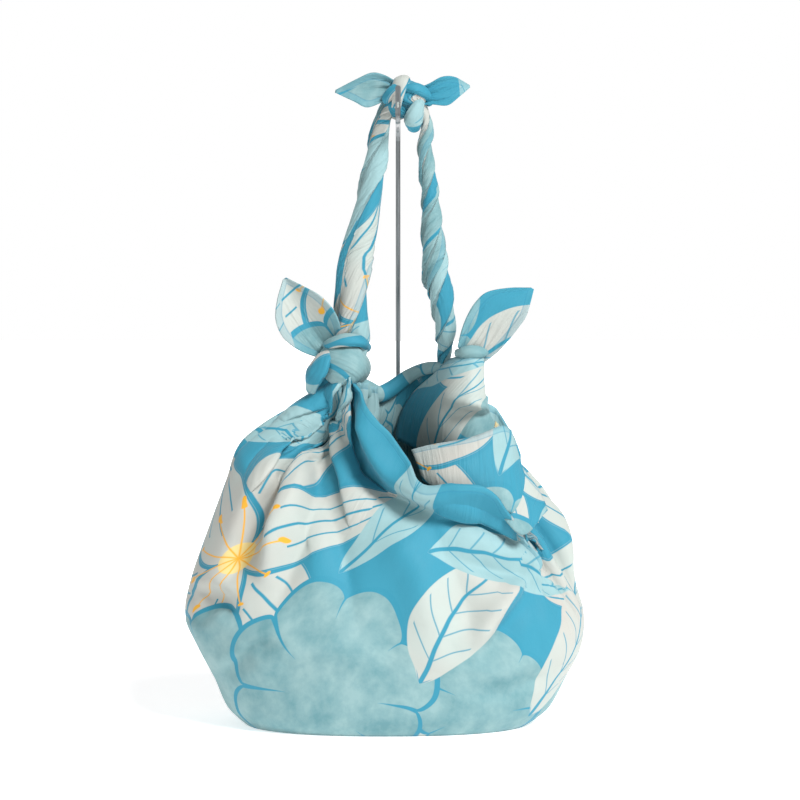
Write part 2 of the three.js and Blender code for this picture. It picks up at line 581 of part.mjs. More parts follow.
// ---- the rod stand ----------------------------------------------------------------------------
// The rod rises behind the bag, turns forward under the handle knot and ends in an upright eye.
function rodSolid() {
  const low = V(ROD_X, POST_Y, FOOT.z + ROD_GAP);
  const bendStart = V(ROD_X, POST_Y, ARM_Z - BACK_BEND);
  const bendCorner = V(ROD_X, POST_Y, ARM_Z);
  const bendEnd = V(ROD_X, POST_Y - BACK_BEND, ARM_Z);
  const turnStart = V(ROD_X, ARM_TIP_Y + TIP_BEND, ARM_Z);
  const turnCorner = V(ROD_X, ARM_TIP_Y, ARM_Z);
  const turnEnd = V(ROD_X, ARM_TIP_Y, ARM_Z + TIP_BEND);
  const tip = V(ROD_X, ARM_TIP_Y, ARM_Z + TIP_RISE);
  const curves = [
    new THREE.LineCurve3(low, bendStart),
    new THREE.QuadraticBezierCurve3(bendStart, bendCorner, bendEnd),
    new THREE.LineCurve3(bendEnd, turnStart),
    new THREE.QuadraticBezierCurve3(turnStart, turnCorner, turnEnd),
    new THREE.LineCurve3(turnEnd, tip),
  ];
  const rings = [];
  const sideways = V(1, 0, 0);
  curves.forEach((curve, k) => {
    const steps = curve instanceof THREE.LineCurve3 ? 1 : DETAIL.bendSteps;
    for (let s = k === 0 ? 0 : 1; s <= steps; s += 1) {
      const centre = curve.getPoint(s / steps);
      const tangent = curve.getTangent(s / steps);
      const depth = V(0, 0, 0).crossVectors(tangent, sideways).normalize();
      rings.push(Array.from({ length: DETAIL.rodSides }, (_, i) => {
        const a = (2 * Math.PI * i) / DETAIL.rodSides;
        return centre.clone()
          .addScaledVector(sideways, ROD_RADIUS * Math.cos(a))
          .addScaledVector(depth, ROD_RADIUS * Math.sin(a));
      }));
    }
  });
  return solidFromRings(rings, low, tip).add(eyeSolid());
}

// The eye: a narrow flat link with a slot through it, standing on the tip.
function eyeSolid() {
  const { base, height, width, thick, slotLow, slotHigh, slotWidth } = EYE;
  const round = width / 2;
  const slotRound = slotWidth / 2;
  const outline = new THREE.Shape();
  outline.absarc(0, height - round, round, 0, Math.PI, false);
  outline.absarc(0, round, round, Math.PI, 2 * Math.PI, false);
  const slot = new THREE.Path();
  slot.absarc(0, slotHigh - slotRound, slotRound, 0, Math.PI, false);
  slot.absarc(0, slotLow + slotRound, slotRound, Math.PI, 2 * Math.PI, false);
  outline.holes.push(slot);
  const geometry = new THREE.ExtrudeGeometry(outline, {
    depth: thick, bevelEnabled: false, curveSegments: DETAIL.eyeArc,
  });
  geometry.rotateX(Math.PI / 2);
  geometry.translate(ROD_X, ARM_TIP_Y + thick / 2, ARM_Z + base);
  const positions = Array.from(geometry.attributes.position.array);
  return toManifold(positions, Array.from({ length: positions.length / 3 }, (_, i) => i));
}

// The foot: a plain weighted plate with rounded corners, behind the bag.
function footSolid() {
  const plate = new THREE.Shape();
  const x = FOOT.x / 2 - FOOT.corner;
  const y = FOOT.y / 2 - FOOT.corner;
  plate.absarc(x, y, FOOT.corner, 0, Math.PI / 2);
  plate.absarc(-x, y, FOOT.corner, Math.PI / 2, Math.PI);
  plate.absarc(-x, -y, FOOT.corner, Math.PI, 1.5 * Math.PI);
  plate.absarc(x, -y, FOOT.corner, 1.5 * Math.PI, 2 * Math.PI);
  const geometry = new THREE.ExtrudeGeometry(plate, {
    depth: FOOT.z, bevelEnabled: false, curveSegments: DETAIL.footArc,
  });
  geometry.translate(ROD_X, FOOT.centreY, 0);
  return geometry;
}

// ---- the scene --------------------------------------------------------------------------------
function toGeometry(solid) {
  const mesh = solid.getMesh();
  const geometry = new THREE.BufferGeometry();
  geometry.setAttribute('position', new THREE.Float32BufferAttribute(mesh.vertProperties, 3));
  geometry.setIndex(Array.from(mesh.triVerts));
  return geometry;
}

function named(name, geometry, material) {
  const mesh = new THREE.Mesh(geometry, material);
  mesh.name = name;
  return mesh;
}

const clothMaterial = new THREE.MeshStandardMaterial({ color: 0x67b9d0, roughness: 0.85 });
const steelMaterial = new THREE.MeshStandardMaterial({
  color: 0x7c8486, roughness: 0.4, metalness: 0.9,
});

const furoshiki = new THREE.Group();
furoshiki.name = 'furoshiki_bag_on_stand';
furoshiki.add(named('cloth', toGeometry(clothSolid()), clothMaterial));
furoshiki.add(named('stand_rod', toGeometry(rodSolid()), steelMaterial));
furoshiki.add(named('stand_foot', footSolid(), steelMaterial));

export default furoshiki;
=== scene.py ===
# A furoshiki: one square printed cloth tied as a shoulder bag, hung by its handle knot on a rod stand.
import math
import bpy
import numpy as np
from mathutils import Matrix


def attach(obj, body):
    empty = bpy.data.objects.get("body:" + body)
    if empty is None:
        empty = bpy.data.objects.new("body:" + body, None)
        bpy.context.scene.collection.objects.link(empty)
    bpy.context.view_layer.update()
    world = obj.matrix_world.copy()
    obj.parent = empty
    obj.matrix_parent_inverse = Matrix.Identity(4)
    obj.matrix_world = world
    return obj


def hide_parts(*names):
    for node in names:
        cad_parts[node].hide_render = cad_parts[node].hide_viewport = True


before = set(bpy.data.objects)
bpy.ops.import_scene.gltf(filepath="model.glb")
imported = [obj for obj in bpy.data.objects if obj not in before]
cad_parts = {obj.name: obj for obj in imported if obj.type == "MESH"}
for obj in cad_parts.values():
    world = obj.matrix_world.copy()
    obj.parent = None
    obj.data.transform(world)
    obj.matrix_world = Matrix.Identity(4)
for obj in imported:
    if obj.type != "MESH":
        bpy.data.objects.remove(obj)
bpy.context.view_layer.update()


# ---- Studio ---------------------------------------------------------------------------------
# A seamless pale floor and a long lens a little above the level of the bag. The main light comes
# from the upper right, with two weak ones from the front left and from behind, and a dim sky.
def aim(obj, place, target):
    """Puts obj at place and turns its -Z axis towards target."""
    step = [t - p for t, p in zip(target, place)]
    length = math.sqrt(sum(s * s for s in step))
    obj.location = place
    obj.rotation_euler = (math.acos(-step[2] / length), 0, math.atan2(step[1], step[0]) - math.pi / 2)


LENS_DISTANCE = 2.5
LENS_TILT = math.radians(5)
FRAME_WIDTH = 0.800
AIM = (0.014, 0.0, 0.3245)
LENS_PLACE = (
    AIM[0],
    -LENS_DISTANCE * math.cos(LENS_TILT),
    AIM[2] + LENS_DISTANCE * math.sin(LENS_TILT),
)
camera = bpy.data.objects.new("camera", bpy.data.cameras.new("camera"))
bpy.context.collection.objects.link(camera)
camera.data.lens = camera.data.sensor_width * LENS_DISTANCE / FRAME_WIDTH
aim(camera, LENS_PLACE, AIM)
bpy.context.scene.camera = camera

# Each light: its place, its spread in degrees, and its strength
LIGHTS = (
    ("key_light", (1.15, -1.3, 1.9), 18, 4.1),
    ("fill_light", (-1.6, -1.5, 1.0), 60, 0.25),
    ("back_light", (-0.3, 1.6, 1.6), 60, 0.45),
)
LIT_PLACE = (0, 0, 0.25)
for name, place, spread, strength in LIGHTS:
    lamp = bpy.data.objects.new(name, bpy.data.lights.new(name, "SUN"))
    bpy.context.collection.objects.link(lamp)
    lamp.data.angle = math.radians(spread)
    lamp.data.energy = strength
    aim(lamp, place, LIT_PLACE)

# The sky lights the scene dimly, but is seen as plain white paper behind it.
SKY_LIGHT = 0.32
world = bpy.data.worlds.new("studio")
world.use_nodes = True
sky = world.node_tree
seen = sky.nodes.new("ShaderNodeLightPath")
sky_level = sky.nodes.new("ShaderNodeMapRange")
sky_level.inputs["To Min"].default_value = SKY_LIGHT
sky_level.inputs["To Max"].default_value = 1.0
sky.links.new(seen.outputs["Is Camera Ray"], sky_level.inputs["Value"])
sky.links.new(sky_level.outputs[0], sky.nodes["Background"].inputs["Strength"])
sky.nodes["Background"].inputs["Color"].default_value = (1.0, 1.0, 1.0, 1)
bpy.context.scene.world = world
bpy.context.scene.view_settings.view_transform = "Standard"

FLOOR_REACH = 6.0
floor_corners = [(x * FLOOR_REACH, y * FLOOR_REACH, 0) for x, y in ((-1, -1), (1, -1), (1, 1), (-1, 1))]
floor_mesh = bpy.data.meshes.new("floor")
floor_mesh.from_pydata(floor_corners, [], [(0, 1, 2, 3)])
floor = bpy.data.objects.new("floor", floor_mesh)
bpy.context.collection.objects.link(floor)
floor_paint = bpy.data.materials.new("studio_paper")
floor_paint.use_nodes = True
paper = floor_paint.node_tree.nodes["Principled BSDF"]
paper.inputs["Base Color"].default_value = (0.95, 0.95, 0.95, 1)
paper.inputs["Roughness"].default_value = 0.9
paper.inputs["Emission Color"].default_value = (1, 1, 1, 1)
paper.inputs["Emission Strength"].default_value = 0.55
floor_mesh.materials.append(floor_paint)


# ---- Bag body -------------------------------------------------------------------------------
# The middle of the square cloth, standing open as a soft sack. Its rim runs from the left knot
# down the front hem to the side slit and back over the rolled back rim. One woven layer, folded
# where the knots gather it.
CLOTH = 1.3  # thickness in mm of one layer
BAG_COLUMNS = 232
GIRTH = 1000.0  # mm of cloth around the belly: two repeats of the print

# Level sections: height, reach to the left, right, front and back
SECTIONS = np.array([
    (0, -141, 142, -76, 66), (7, -149, 152, -84, 73), (19, -160, 165, -92, 80),
    (50, -173, 181, -103, 90), (78, -188, 195, -109, 96), (110, -201, 198, -112, 99),
    (145, -195, 189, -111, 98), (197, -177, 184, -106, 92), (246, -159, 158, -95, 84),
    (282, -145, 131, -80, 74), (310, -111, 118, -62, 66), (338, -84, 99, -44, 58),
    (374, -60, 84, -30, 50),
], float)
SECTION_POWER = 2.35

# The rim once around from the right side: angle in the section, x, y, z, and the share of the
# column's height where it starts to lean towards its place on the rim
RIM = np.array([
    (0, 127, 0, 289, 0.6), (8, 111, 4, 315, 0.65), (20, 97, 10, 331, 0.7), (40, 82, 12, 346, 0.7),
    (55, 66, 18, 357, 0.6), (72, 45, 38, 358, 0.5), (90, 24, 56, 349, 0.5), (108, 4, 54, 335, 0.5),
    (120, -7, 49, 330, 0.55), (132, -18, 40, 335, 0.6), (150, -36, 24, 343, 0.7), (180, -63, 0, 350, 0.86),
    (205, -60, -14, 350, 0.84), (228, -46, -22, 347, 0.74), (245, -28, -30, 341, 0.6),
    (258, 6, -62, 299, 0.45), (270, 37, -88, 257, 0.45), (285, 68, -96, 253, 0.45),
    (297, 95, -92, 248, 0.45), (305, 114, -84, 226, 0.45), (314, 136, -74, 202, 0.5),
    (323, 150, -66, 179, 0.5), (331, 156, -58, 167, 0.5), (339, 145, -48, 194, 0.5),
    (347, 141, -34, 226, 0.5), (354, 136, -16, 260, 0.5), (360, 127, 0, 289, 0.6),
], float)

# Creases through points (x, z), on the front (-1) or back (1): ridge height, pleat step, lean
# sideways over the crease and width, all in mm. A ridge below zero is a trough.
CREASES = (
    (-1, 20, 6, -11, 14, ((-36, 346), (-56, 335), (-88, 320), (-124, 301))),
    (-1, -34, 0, 0, 15, ((-44, 334), (-60, 326), (-81, 310), (-111, 286), (-141, 267))),
    (-1, 17, 0, -7, 15, ((-48, 324), (-86, 291), (-121, 247), (-151, 188))),
    (-1, -30, -8, 4, 12, ((-48, 328), (-71, 305), (-99, 276), (-121, 232), (-146, 172), (-161, 148))),
    (-1, 17, 0, 9, 14, ((-56, 309), (-84, 262), (-104, 205), (-118, 148))),
    (-1, -17, 0, 0, 17, ((-46, 326), (-56, 296), (-66, 231), (-96, 162), (-111, 120))),
    (-1, -15, 0, 0, 12, (
        (-46, 330), (-56, 306), (-59, 280), (-57, 260), (-50, 236), (-42, 200), (-34, 150), (-28, 110),
    )),
    (-1, -26, 0, 0, 14, ((-32, 334), (-29, 281), (-24, 263), (-2, 249), (33, 232), (66, 222), (82, 219))),
    (-1, 21, 0, 8, 14, ((-26, 336), (-11, 290), (9, 257), (54, 234), (94, 217))),
    (-1, 12, 0, 0, 12, ((39, 250), (94, 247), (119, 232), (144, 200))),
    (-1, -18, 0, 0, 10, ((54, 219), (99, 212), (139, 190), (152, 182))),
    (-1, -9, 3, 0, 7, ((-42, 338), (-62, 300), (-84, 258), (-102, 200))),
    (-1, 10, 0, 0, 22, ((0, 210), (30, 170), (44, 120), (40, 70))),
    (-1, -9, 0, 0, 20, ((40, 214), (66, 170), (84, 120), (80, 70))),
    (-1, 8, 0, 0, 20, ((-150, 60), (-100, 90), (-50, 96), (0, 80))),
    (-1, -12, 3, 0, 11, ((152, 162), (128, 160), (96, 170), (60, 184))),
    (-1, -11, -3, 0, 11, ((150, 158), (134, 140), (112, 112), (92, 72))),
    (-1, -4, 0, 0, 14, ((156, 158), (152, 132), (150, 96), (154, 60))),
    (-1, 11, 0, 0, 13, ((140, 158), (118, 134), (92, 108), (66, 92))),
    (-1, -8, 4, 0, 8, ((-188, 138), (-170, 144), (-146, 136))),
    (-1, -8, -4, 0, 8, ((-188, 112), (-164, 126), (-140, 120))),
    (-1, -6, 2, 0, 8, ((-160, 60), (-130, 92), (-96, 104))),
    (-1, -5, 2, 0, 9, ((160, 60), (120, 40), (70, 44))),
    (1, -14, 5, 0, 13, ((-36, 334), (-72, 282), (-104, 218), (-120, 150))),
    (1, -13, 5, 0, 12, ((-20, 332), (-40, 268), (-50, 200), (-44, 130))),
    (1, 9, 0, 0, 14, ((-30, 330), (-58, 276), (-78, 214), (-84, 160))),
    (1, -13, -5, 0, 12, ((78, 338), (70, 278), (74, 210), (66, 140))),
    (1, -14, 5, 0, 13, ((90, 330), (112, 268), (130, 210), (134, 150))),
    (1, 9, 0, 0, 14, ((84, 332), (92, 276), (104, 220), (104, 160))),
)
# Knife pleats where a knot gathers the wall: angle, share of the height where each starts, its
# depth in mm and its half width in degrees
PLEATS = (
    (12, 0.42, 24, 2.0), (24, 0.50, 26, 2.2), (35, 0.46, 24, 2.2), (46, 0.55, 22, 2.4),
    (58, 0.60, 18, 2.4), (132, 0.60, 18, 2.4), (143, 0.50, 24, 2.4), (154, 0.44, 26, 2.2),
    (164, 0.52, 26, 2.2), (173, 0.58, 22, 2.0), (188, 0.66, 16, 1.8), (211, 0.70, 14, 1.6),
    (230, 0.68, 20, 1.2), (240, 0.70, 16, 1.2),
    (345, 0.45, 10, 1.5), (353, 0.40, 14, 1.5),
)
# Overlapped folds: a panel of the wall lies over its neighbour along a folded edge. Each has its
# edge and its other side as points (x, z), and how far the two stand out in mm; below zero a side
# sinks into the wall again.
OVERLAPS = (
    (
        ((-38, 346), (-47, 335), (-61, 322), (-80, 310), (-96, 303), (-108, 298), (-118, 291)),
        ((-46, 354), (-58, 346), (-74, 336), (-90, 326), (-103, 316), (-113, 309), (-122, 300)),
        9, -3,
    ),
    (
        ((-44, 341), (-60, 313), (-77, 299), (-95, 281), (-107, 268), (-120, 252), (-137, 234), (-158, 212)),
        ((-50, 343), (-76, 322), (-94, 309), (-113, 294), (-126, 281), (-139, 266), (-154, 248), (-170, 228)),
        10, -3,
    ),
    (
        ((-36, 348), (-46, 319), (-50, 297), (-52, 271), (-47, 253), (-40, 228), (-34, 198), (-26, 170)),
        ((-32, 348), (-31, 327), (-29, 308), (-30, 284), (-26, 262), (-15, 249), (4, 238), (24, 230)),
        9, 7,
    ),
    (
        ((151, 178), (144, 187), (129, 194), (104, 204), (79, 214), (54, 221), (39, 227), (16, 238)),
        ((151, 184), (147, 194), (134, 202), (111, 220), (84, 234), (57, 240), (42, 245), (20, 253)),
        6, -3,
    ),
)
OVERLAP_TUCK = 24.0  # mm of print hidden under an overlapped edge
# Finer gathers around the two knots and the slit: the place (x, z), how many, their height and
# how far they reach
GATHERS = (
    ((-44, 352), 9, 0.8, 80),
    ((84, 345), 11, 1.2, 70),
    ((156, 166), 7, 0.5, 48),
)
# Where the cloth is pulled tight: the place, and how far that is felt
PULLS = (
    ((-43, -20, 345), 75),
    ((84, 0, 345), 60),
    ((156, -58, 166), 35),
)
WALL_SHARES = np.concatenate([np.linspace(0, 0.10, 9)[:-1], np.linspace(0.10, 1, 78)])
BOTTOM_SHARES = np.array([0.05, 0.3, 0.55, 0.8, 0.93])
BOTTOM_ROWS = len(BOTTOM_SHARES)


def smooth_table(keys, values, at):
    """Cubic Hermite curve through a table: slopes are those between each row's neighbours."""
    i = np.clip(np.searchsorted(keys, at, side="right") - 1, 0, len(keys) - 2)
    low, high = np.maximum(i - 1, 0), np.minimum(i + 2, len(keys) - 1)
    span = keys[i + 1] - keys[i]
    t = np.clip((at - keys[i]) / span, 0, 1)
    slope0 = (values[i + 1] - values[low]) / (keys[i + 1] - keys[low]) * span
    slope1 = (values[high] - values[i]) / (keys[high] - keys[i]) * span
    return (
        (2 * t**3 - 3 * t**2 + 1) * values[i] + (t**3 - 2 * t**2 + t) * slope0
        + (3 * t**2 - 2 * t**3) * values[i + 1] + (t**3 - t**2) * slope1
    )


def ramp(x, start, end):
    """Smooth step: 0 before start, 1 after end, 3t^2 - 2t^3 between."""
    t = np.clip((x - start) / (end - start), 0, 1)
    return t * t * (3 - 2 * t)


def unit(v):
    """Each vector divided by its length."""
    return v / np.maximum(np.linalg.norm(v, axis=-1, keepdims=True), 1e-9)


def surface_normals(points, closed):
    """Cross product of the steps around and up the grid; closed grids wrap around their columns."""
    around = (np.roll(points, -1, 1) - np.roll(points, 1, 1)) if closed else np.gradient(points, axis=1)
    return unit(np.cross(around, np.gradient(points, axis=0)))


def near_path(path, x, z):
    """Signed distance to a path in the (x, z) plane, share of its length, and its sideways direction."""
    best = np.full(x.shape, 1e9)
    signed, along = np.zeros(x.shape), np.zeros(x.shape)
    side_x, side_z = np.zeros(x.shape), np.zeros(x.shape)
    for i, ((ax, az), (bx, bz)) in enumerate(zip(path[:-1], path[1:])):
        dx, dz = bx - ax, bz - az
        length = math.hypot(dx, dz)
        t = np.clip(((x - ax) * dx + (z - az) * dz) / length**2, 0, 1)
        gap = np.hypot(x - ax - t * dx, z - az - t * dz)
        nearer = gap < best
        best = np.where(nearer, gap, best)
        across = ((x - ax) * dz - (z - az) * dx) / length
        signed = np.where(nearer, np.sign(across) * gap, signed)
        along = np.where(nearer, (i + t) / (len(path) - 1), along)
        side_x = np.where(nearer, dz / length, side_x)
        side_z = np.where(nearer, -dx / length, side_z)
    return signed, along, side_x, side_z


def folded(points, normals):
    """Moves points by their creases, s being the signed distance over the width: a ridge is
    h*exp(-s^2), a trough h*exp(0.3 - 1.2*sqrt(s^2 + 1/16)), a pleat -p*s*exp(0.5 - s^2/2), and a
    lean the same bell as the ridge along the sideways direction."""
    x, y, z = points[..., 0], points[..., 1], points[..., 2]
    lift, shift_x, shift_z = np.zeros(x.shape), np.zeros(x.shape), np.zeros(x.shape)
    for side, ridge, pleat, lean, width, path in CREASES:
        s, along, side_x, side_z = near_path(path, x, z)
        s = s / width
        fade = np.minimum(1, 0.25 + 4 * along) * np.minimum(1, 2.8 * (1 - along))
        fade = fade * ramp(side * y, 4, 34)
        bell = np.exp(-s * s)
        form = bell if ridge > 0 else np.exp(0.3 - 1.2 * np.sqrt(s * s + 0.0625))
        lift += fade * (ridge * form - pleat * s * np.exp(0.5 - s * s / 2))
        shift_x += fade * lean * bell * side_x
        shift_z += fade * lean * bell * side_z
    rise = ramp(z, 4, 60)[..., None]
    shift = np.stack([shift_x, np.zeros(x.shape), shift_z], -1)
    return points + rise * (normals * lift[..., None] + shift)


def gathers(points, normals, knot, count, height, reach):
    """Soft pleats around a knot: height*(r/30)*exp(-r/reach) times a wavering sine of the angle."""
    x, z = points[..., 0] - knot[0], points[..., 2] - knot[1]
    r = np.hypot(x, z)
    angle = np.arctan2(z, x)
    wave = np.sin(count * angle + 1.3 * np.sin(2.3 * angle + 0.02 * r) + 0.012 * r)
    wave += 0.5 * np.sin(1.7 * count * angle - 0.03 * r + 1.0)
    front = np.abs(points[..., 1]) > 4
    size = height * np.minimum(r / 30, 1) * np.exp(-r / reach) * front
    return points + normals * (size * wave)[..., None]


def bag_wall():
    """Rows of the bag from the middle of its bottom to the rim, smooth and then folded. A level
    section is a superellipse, |x/a|^p + |y/b|^p = 1; higher up it leans to its place on the rim.
    Columns stand closer on the front: angle = 360*s - 20*cos(2*pi*s)."""
    round_share = np.arange(BAG_COLUMNS) / BAG_COLUMNS
    angle = 360 * round_share - 20 * np.cos(2 * np.pi * round_share)
    rim = np.stack([smooth_table(RIM[:, 0], RIM[:, i], angle % 360) for i in (1, 2, 3, 4)], -1)
    a = np.radians(angle)
    corner = [np.sign(f) * np.abs(f) ** (2 / SECTION_POWER) for f in (np.cos(a), np.sin(a))]
    z = CLOTH / 2 + WALL_SHARES[:, None] * (rim[None, :, 2] - CLOTH / 2)
    left, right, front, back = [smooth_table(SECTIONS[:, 0], SECTIONS[:, i], z) for i in (1, 2, 3, 4)]
    x = (left + right) / 2 + (right - left) / 2 * corner[0]
    y = (front + back) / 2 + (back - front) / 2 * corner[1]
    lean = ramp(WALL_SHARES[:, None], rim[None, :, 3], 1)
    x = x + lean * (rim[None, :, 0] - x)
    y = y + lean * (rim[None, :, 1] - y)
    wall = np.stack([x, y, z], -1)
    bottom = wall[:1] * np.array([1, 1, 0]) * BOTTOM_SHARES[:, None, None] + np.array([0, 0, CLOTH / 2])
    smooth = np.concatenate([bottom, wall])
    points = folded(smooth, surface_normals(smooth, True))
    normals = surface_normals(points, True)
    points = knife_pleated(points, normals, angle % 360)
    for knot, count, height, reach in GATHERS:
        points = gathers(points, normals, knot, count, height, reach)
    return smooth, points


def knife_pleated(points, normals, angle):
    """Sinks each pleat by depth*exp(-((angle - its own)/width)^2), deepening up its column."""
    share = np.concatenate([np.zeros(BOTTOM_ROWS), WALL_SHARES])[:, None]
    sink = np.zeros(points.shape[:2])
    for centre, start, depth, width in PLEATS:
        fold = np.exp(-(((angle[None, :] - centre) / width) ** 2))
        sink += depth * fold * ramp(share, start, start + 0.3) * (1 - 0.45 * ramp(share, 0.9, 1))
    return points - normals * sink[..., None]


def curve_through(points, samples):
    """Points spaced evenly by table position on a cubic curve through the given ones."""
    points = np.array(points, float)
    keys = np.arange(len(points), dtype=float)
    at = np.linspace(0, len(points) - 1, samples)
    return np.stack([smooth_table(keys, points[:, i], at) for i in range(points.shape[1])], -1)


def lengths_down(points):
    """Distance along each column from the first row."""
    steps = np.linalg.norm(np.diff(points, axis=0), axis=-1)
    return np.concatenate([np.zeros((1,) + steps.shape[1:]), np.cumsum(steps, axis=0)])


cloth_groups = []
NO_HEM = 99.0  # a hem distance for surfaces without a hem in sight


def add_stack(points, uv, hem, cap, pull):
    """Joins rings of points into a closed solid. uv has one column more than the rings, for the seam.
    The cap 'fan' closes both ends to their middles, and 'zip' joins each ring's front to its back.
    pull is how tightly the cloth is gathered there, from 0 to 1."""
    rings, n = points.shape[:2]
    k = np.arange(rings * n).reshape(rings, n)
    a, b = k[:-1], np.roll(k, -1, 1)[:-1]
    c, d = np.roll(k, -1, 1)[1:], k[1:]
    quads = np.stack([a, b, c, d], -1).reshape(-1, 4)
    corners = np.stack([uv[:-1, :-1], uv[:-1, 1:], uv[1:, 1:], uv[1:, :-1]], -2).reshape(-1, 4, 2)
    vertices = points.reshape(-1, 3)
    marks = np.stack([hem, pull + 0 * hem], -1).reshape(-1, 2)
    triangles, tri_uv = np.zeros((0, 3), int), np.zeros((0, 3, 2))
    if cap == "zip":
        i = np.arange(n // 2 - 1)
        for row, order in ((0, (0, 3, 2, 1)), (rings - 1, (0, 1, 2, 3))):
            face = np.stack([i, i + 1, n - 2 - i, n - 1 - i], -1)[:, order]
            quads = np.concatenate([quads, k[row][face]])
            corners = np.concatenate([corners, uv[row][face]])
    else:
        middles = np.stack([points[0].mean(0), points[-1].mean(0)])
        vertices = np.concatenate([vertices, middles])
        marks = np.concatenate([marks, [marks[0], marks[-1]]])
        i = np.arange(n)
        nxt = (i + 1) % n
        for row, tip, flip in ((0, rings * n, True), (rings - 1, rings * n + 1, False)):
            left, right = (k[row][nxt], k[row][i]) if flip else (k[row][i], k[row][nxt])
            uv_left, uv_right = (uv[row][1:], uv[row][:-1]) if flip else (uv[row][:-1], uv[row][1:])
            middle_uv = (uv_left + uv_right) / 2
            triangles = np.concatenate([triangles, np.stack([np.full(n, tip), left, right], -1)])
            tri_uv = np.concatenate([tri_uv, np.stack([middle_uv, uv_left, uv_right], -2)])
    p = vertices[quads]
    volume = np.einsum("ij,ij->", p[:, 0], np.cross(p[:, 1], p[:, 2]) + np.cross(p[:, 2], p[:, 3]))
    if volume < 0:
        quads, corners = quads[:, ::-1], corners[:, ::-1]
        triangles, tri_uv = triangles[:, ::-1], tri_uv[:, ::-1]
    cloth_groups.append((vertices, marks, quads, corners, triangles, tri_uv))


def add_thick_grid(points, uv, hem, pull):
    """A sheet as a closed solid: each row goes out along the front face and home along the back."""
    normals = surface_normals(points, False) * CLOTH / 2
    ring = np.concatenate([points + normals, (points - normals)[:, ::-1]], 1)
    ring_uv = np.concatenate([uv, uv[:, ::-1], uv[:, :1]], 1)
    pull = pull + 0 * hem
    add_stack(
        ring, ring_uv, np.concatenate([hem, hem[:, ::-1]], 1), "zip",
        np.concatenate([pull, pull[:, ::-1]], 1),
    )


smooth_wall, wall = bag_wall()
wall_normals = surface_normals(wall, True)
wall_normals[:BOTTOM_ROWS] = (0, 0, -1)
down = lengths_down(smooth_wall)
to_rim = down[-1:] - down
BELLY_SHARE = 0.33
belly = smooth_wall[np.argmin(np.abs(WALL_SHARES - BELLY_SHARE)) + BOTTOM_ROWS]
around = np.concatenate([[0], np.cumsum(np.linalg.norm(np.roll(belly, -1, 0) - belly, axis=-1))])
wall_u = np.broadcast_to(around / around[-1] * GIRTH, (len(wall), BAG_COLUMNS + 1))
wall_v = np.concatenate([down, down[:, :1]], 1) - down[BOTTOM_ROWS].mean()
smooth_uv = np.stack([wall_u, wall_v], -1)
# The print jumps by the hidden tuck where an edge lies over the wall: away from the panel the
# jump fades as exp(-s/45), s being the distance past the edge, and along the edge by a ramp
EDGE_SLACK = 5.0
TUCK_REACH = 45.0
wall_uv = smooth_uv.copy()
for edge, other, _, _ in OVERLAPS:
    s, along, side_x, side_z = near_path(edge, wall[..., 0], wall[..., 2])
    away = -np.sign(near_path(edge, *np.array(other[2:3], float).T)[0])
    s = away * s + EDGE_SLACK
    hidden = away * OVERLAP_TUCK * np.exp(-np.maximum(s, 0) / TUCK_REACH) * (s > 0)
    hidden = hidden * (1 - ramp(along, 0.1, 0.6)) * (wall[..., 1] < 0)
    shift = np.stack([hidden * side_x, hidden * side_z], -1)
    wall_uv += np.concatenate([shift, shift[:, :1]], 1)
HEM_BEAD = 0.9  # the rolled hem is this much thicker each side
HEM_WIDTH = 4.0
half = CLOTH / 2 + HEM_BEAD * np.exp(-((to_rim / HEM_WIDTH) ** 2))
outer = wall + wall_normals * half[..., None]
inner = wall - wall_normals * half[..., None]
outer[:BOTTOM_ROWS + 1, :, 2] = 0
nearness = sum(np.exp(-np.linalg.norm(wall - place, axis=-1) / reach) for place, reach in PULLS)
wall_pull = np.where(wall[..., 1] < 0, 0.3, 0.8) * np.minimum(1, nearness)
add_stack(
    np.concatenate([outer, inner[::-1]]), np.concatenate([wall_uv, wall_uv[::-1]]),
    np.concatenate([to_rim, to_rim[::-1]]), "fan", np.concatenate([wall_pull, wall_pull[::-1]]),
)

faces_front = wall[BOTTOM_ROWS:, :, 1] < 0
front_points = wall[BOTTOM_ROWS:][faces_front]
front_normals = wall_normals[BOTTOM_ROWS:][faces_front]
front_uv = smooth_uv[BOTTOM_ROWS:, :-1][faces_front]


def front_at(x, z):
    """Place, normal and print of the front wall at (x, z): averages weighted exp(-d^2/18)."""
    gap = (x[..., None] - front_points[:, 0]) ** 2 + (z[..., None] - front_points[:, 2]) ** 2
    weight = np.exp(-(gap - gap.min(-1, keepdims=True)) / 18)
    weight /= weight.sum(-1, keepdims=True)
    return weight @ front_points[:, 1], unit(weight @ front_normals), weight @ front_uv


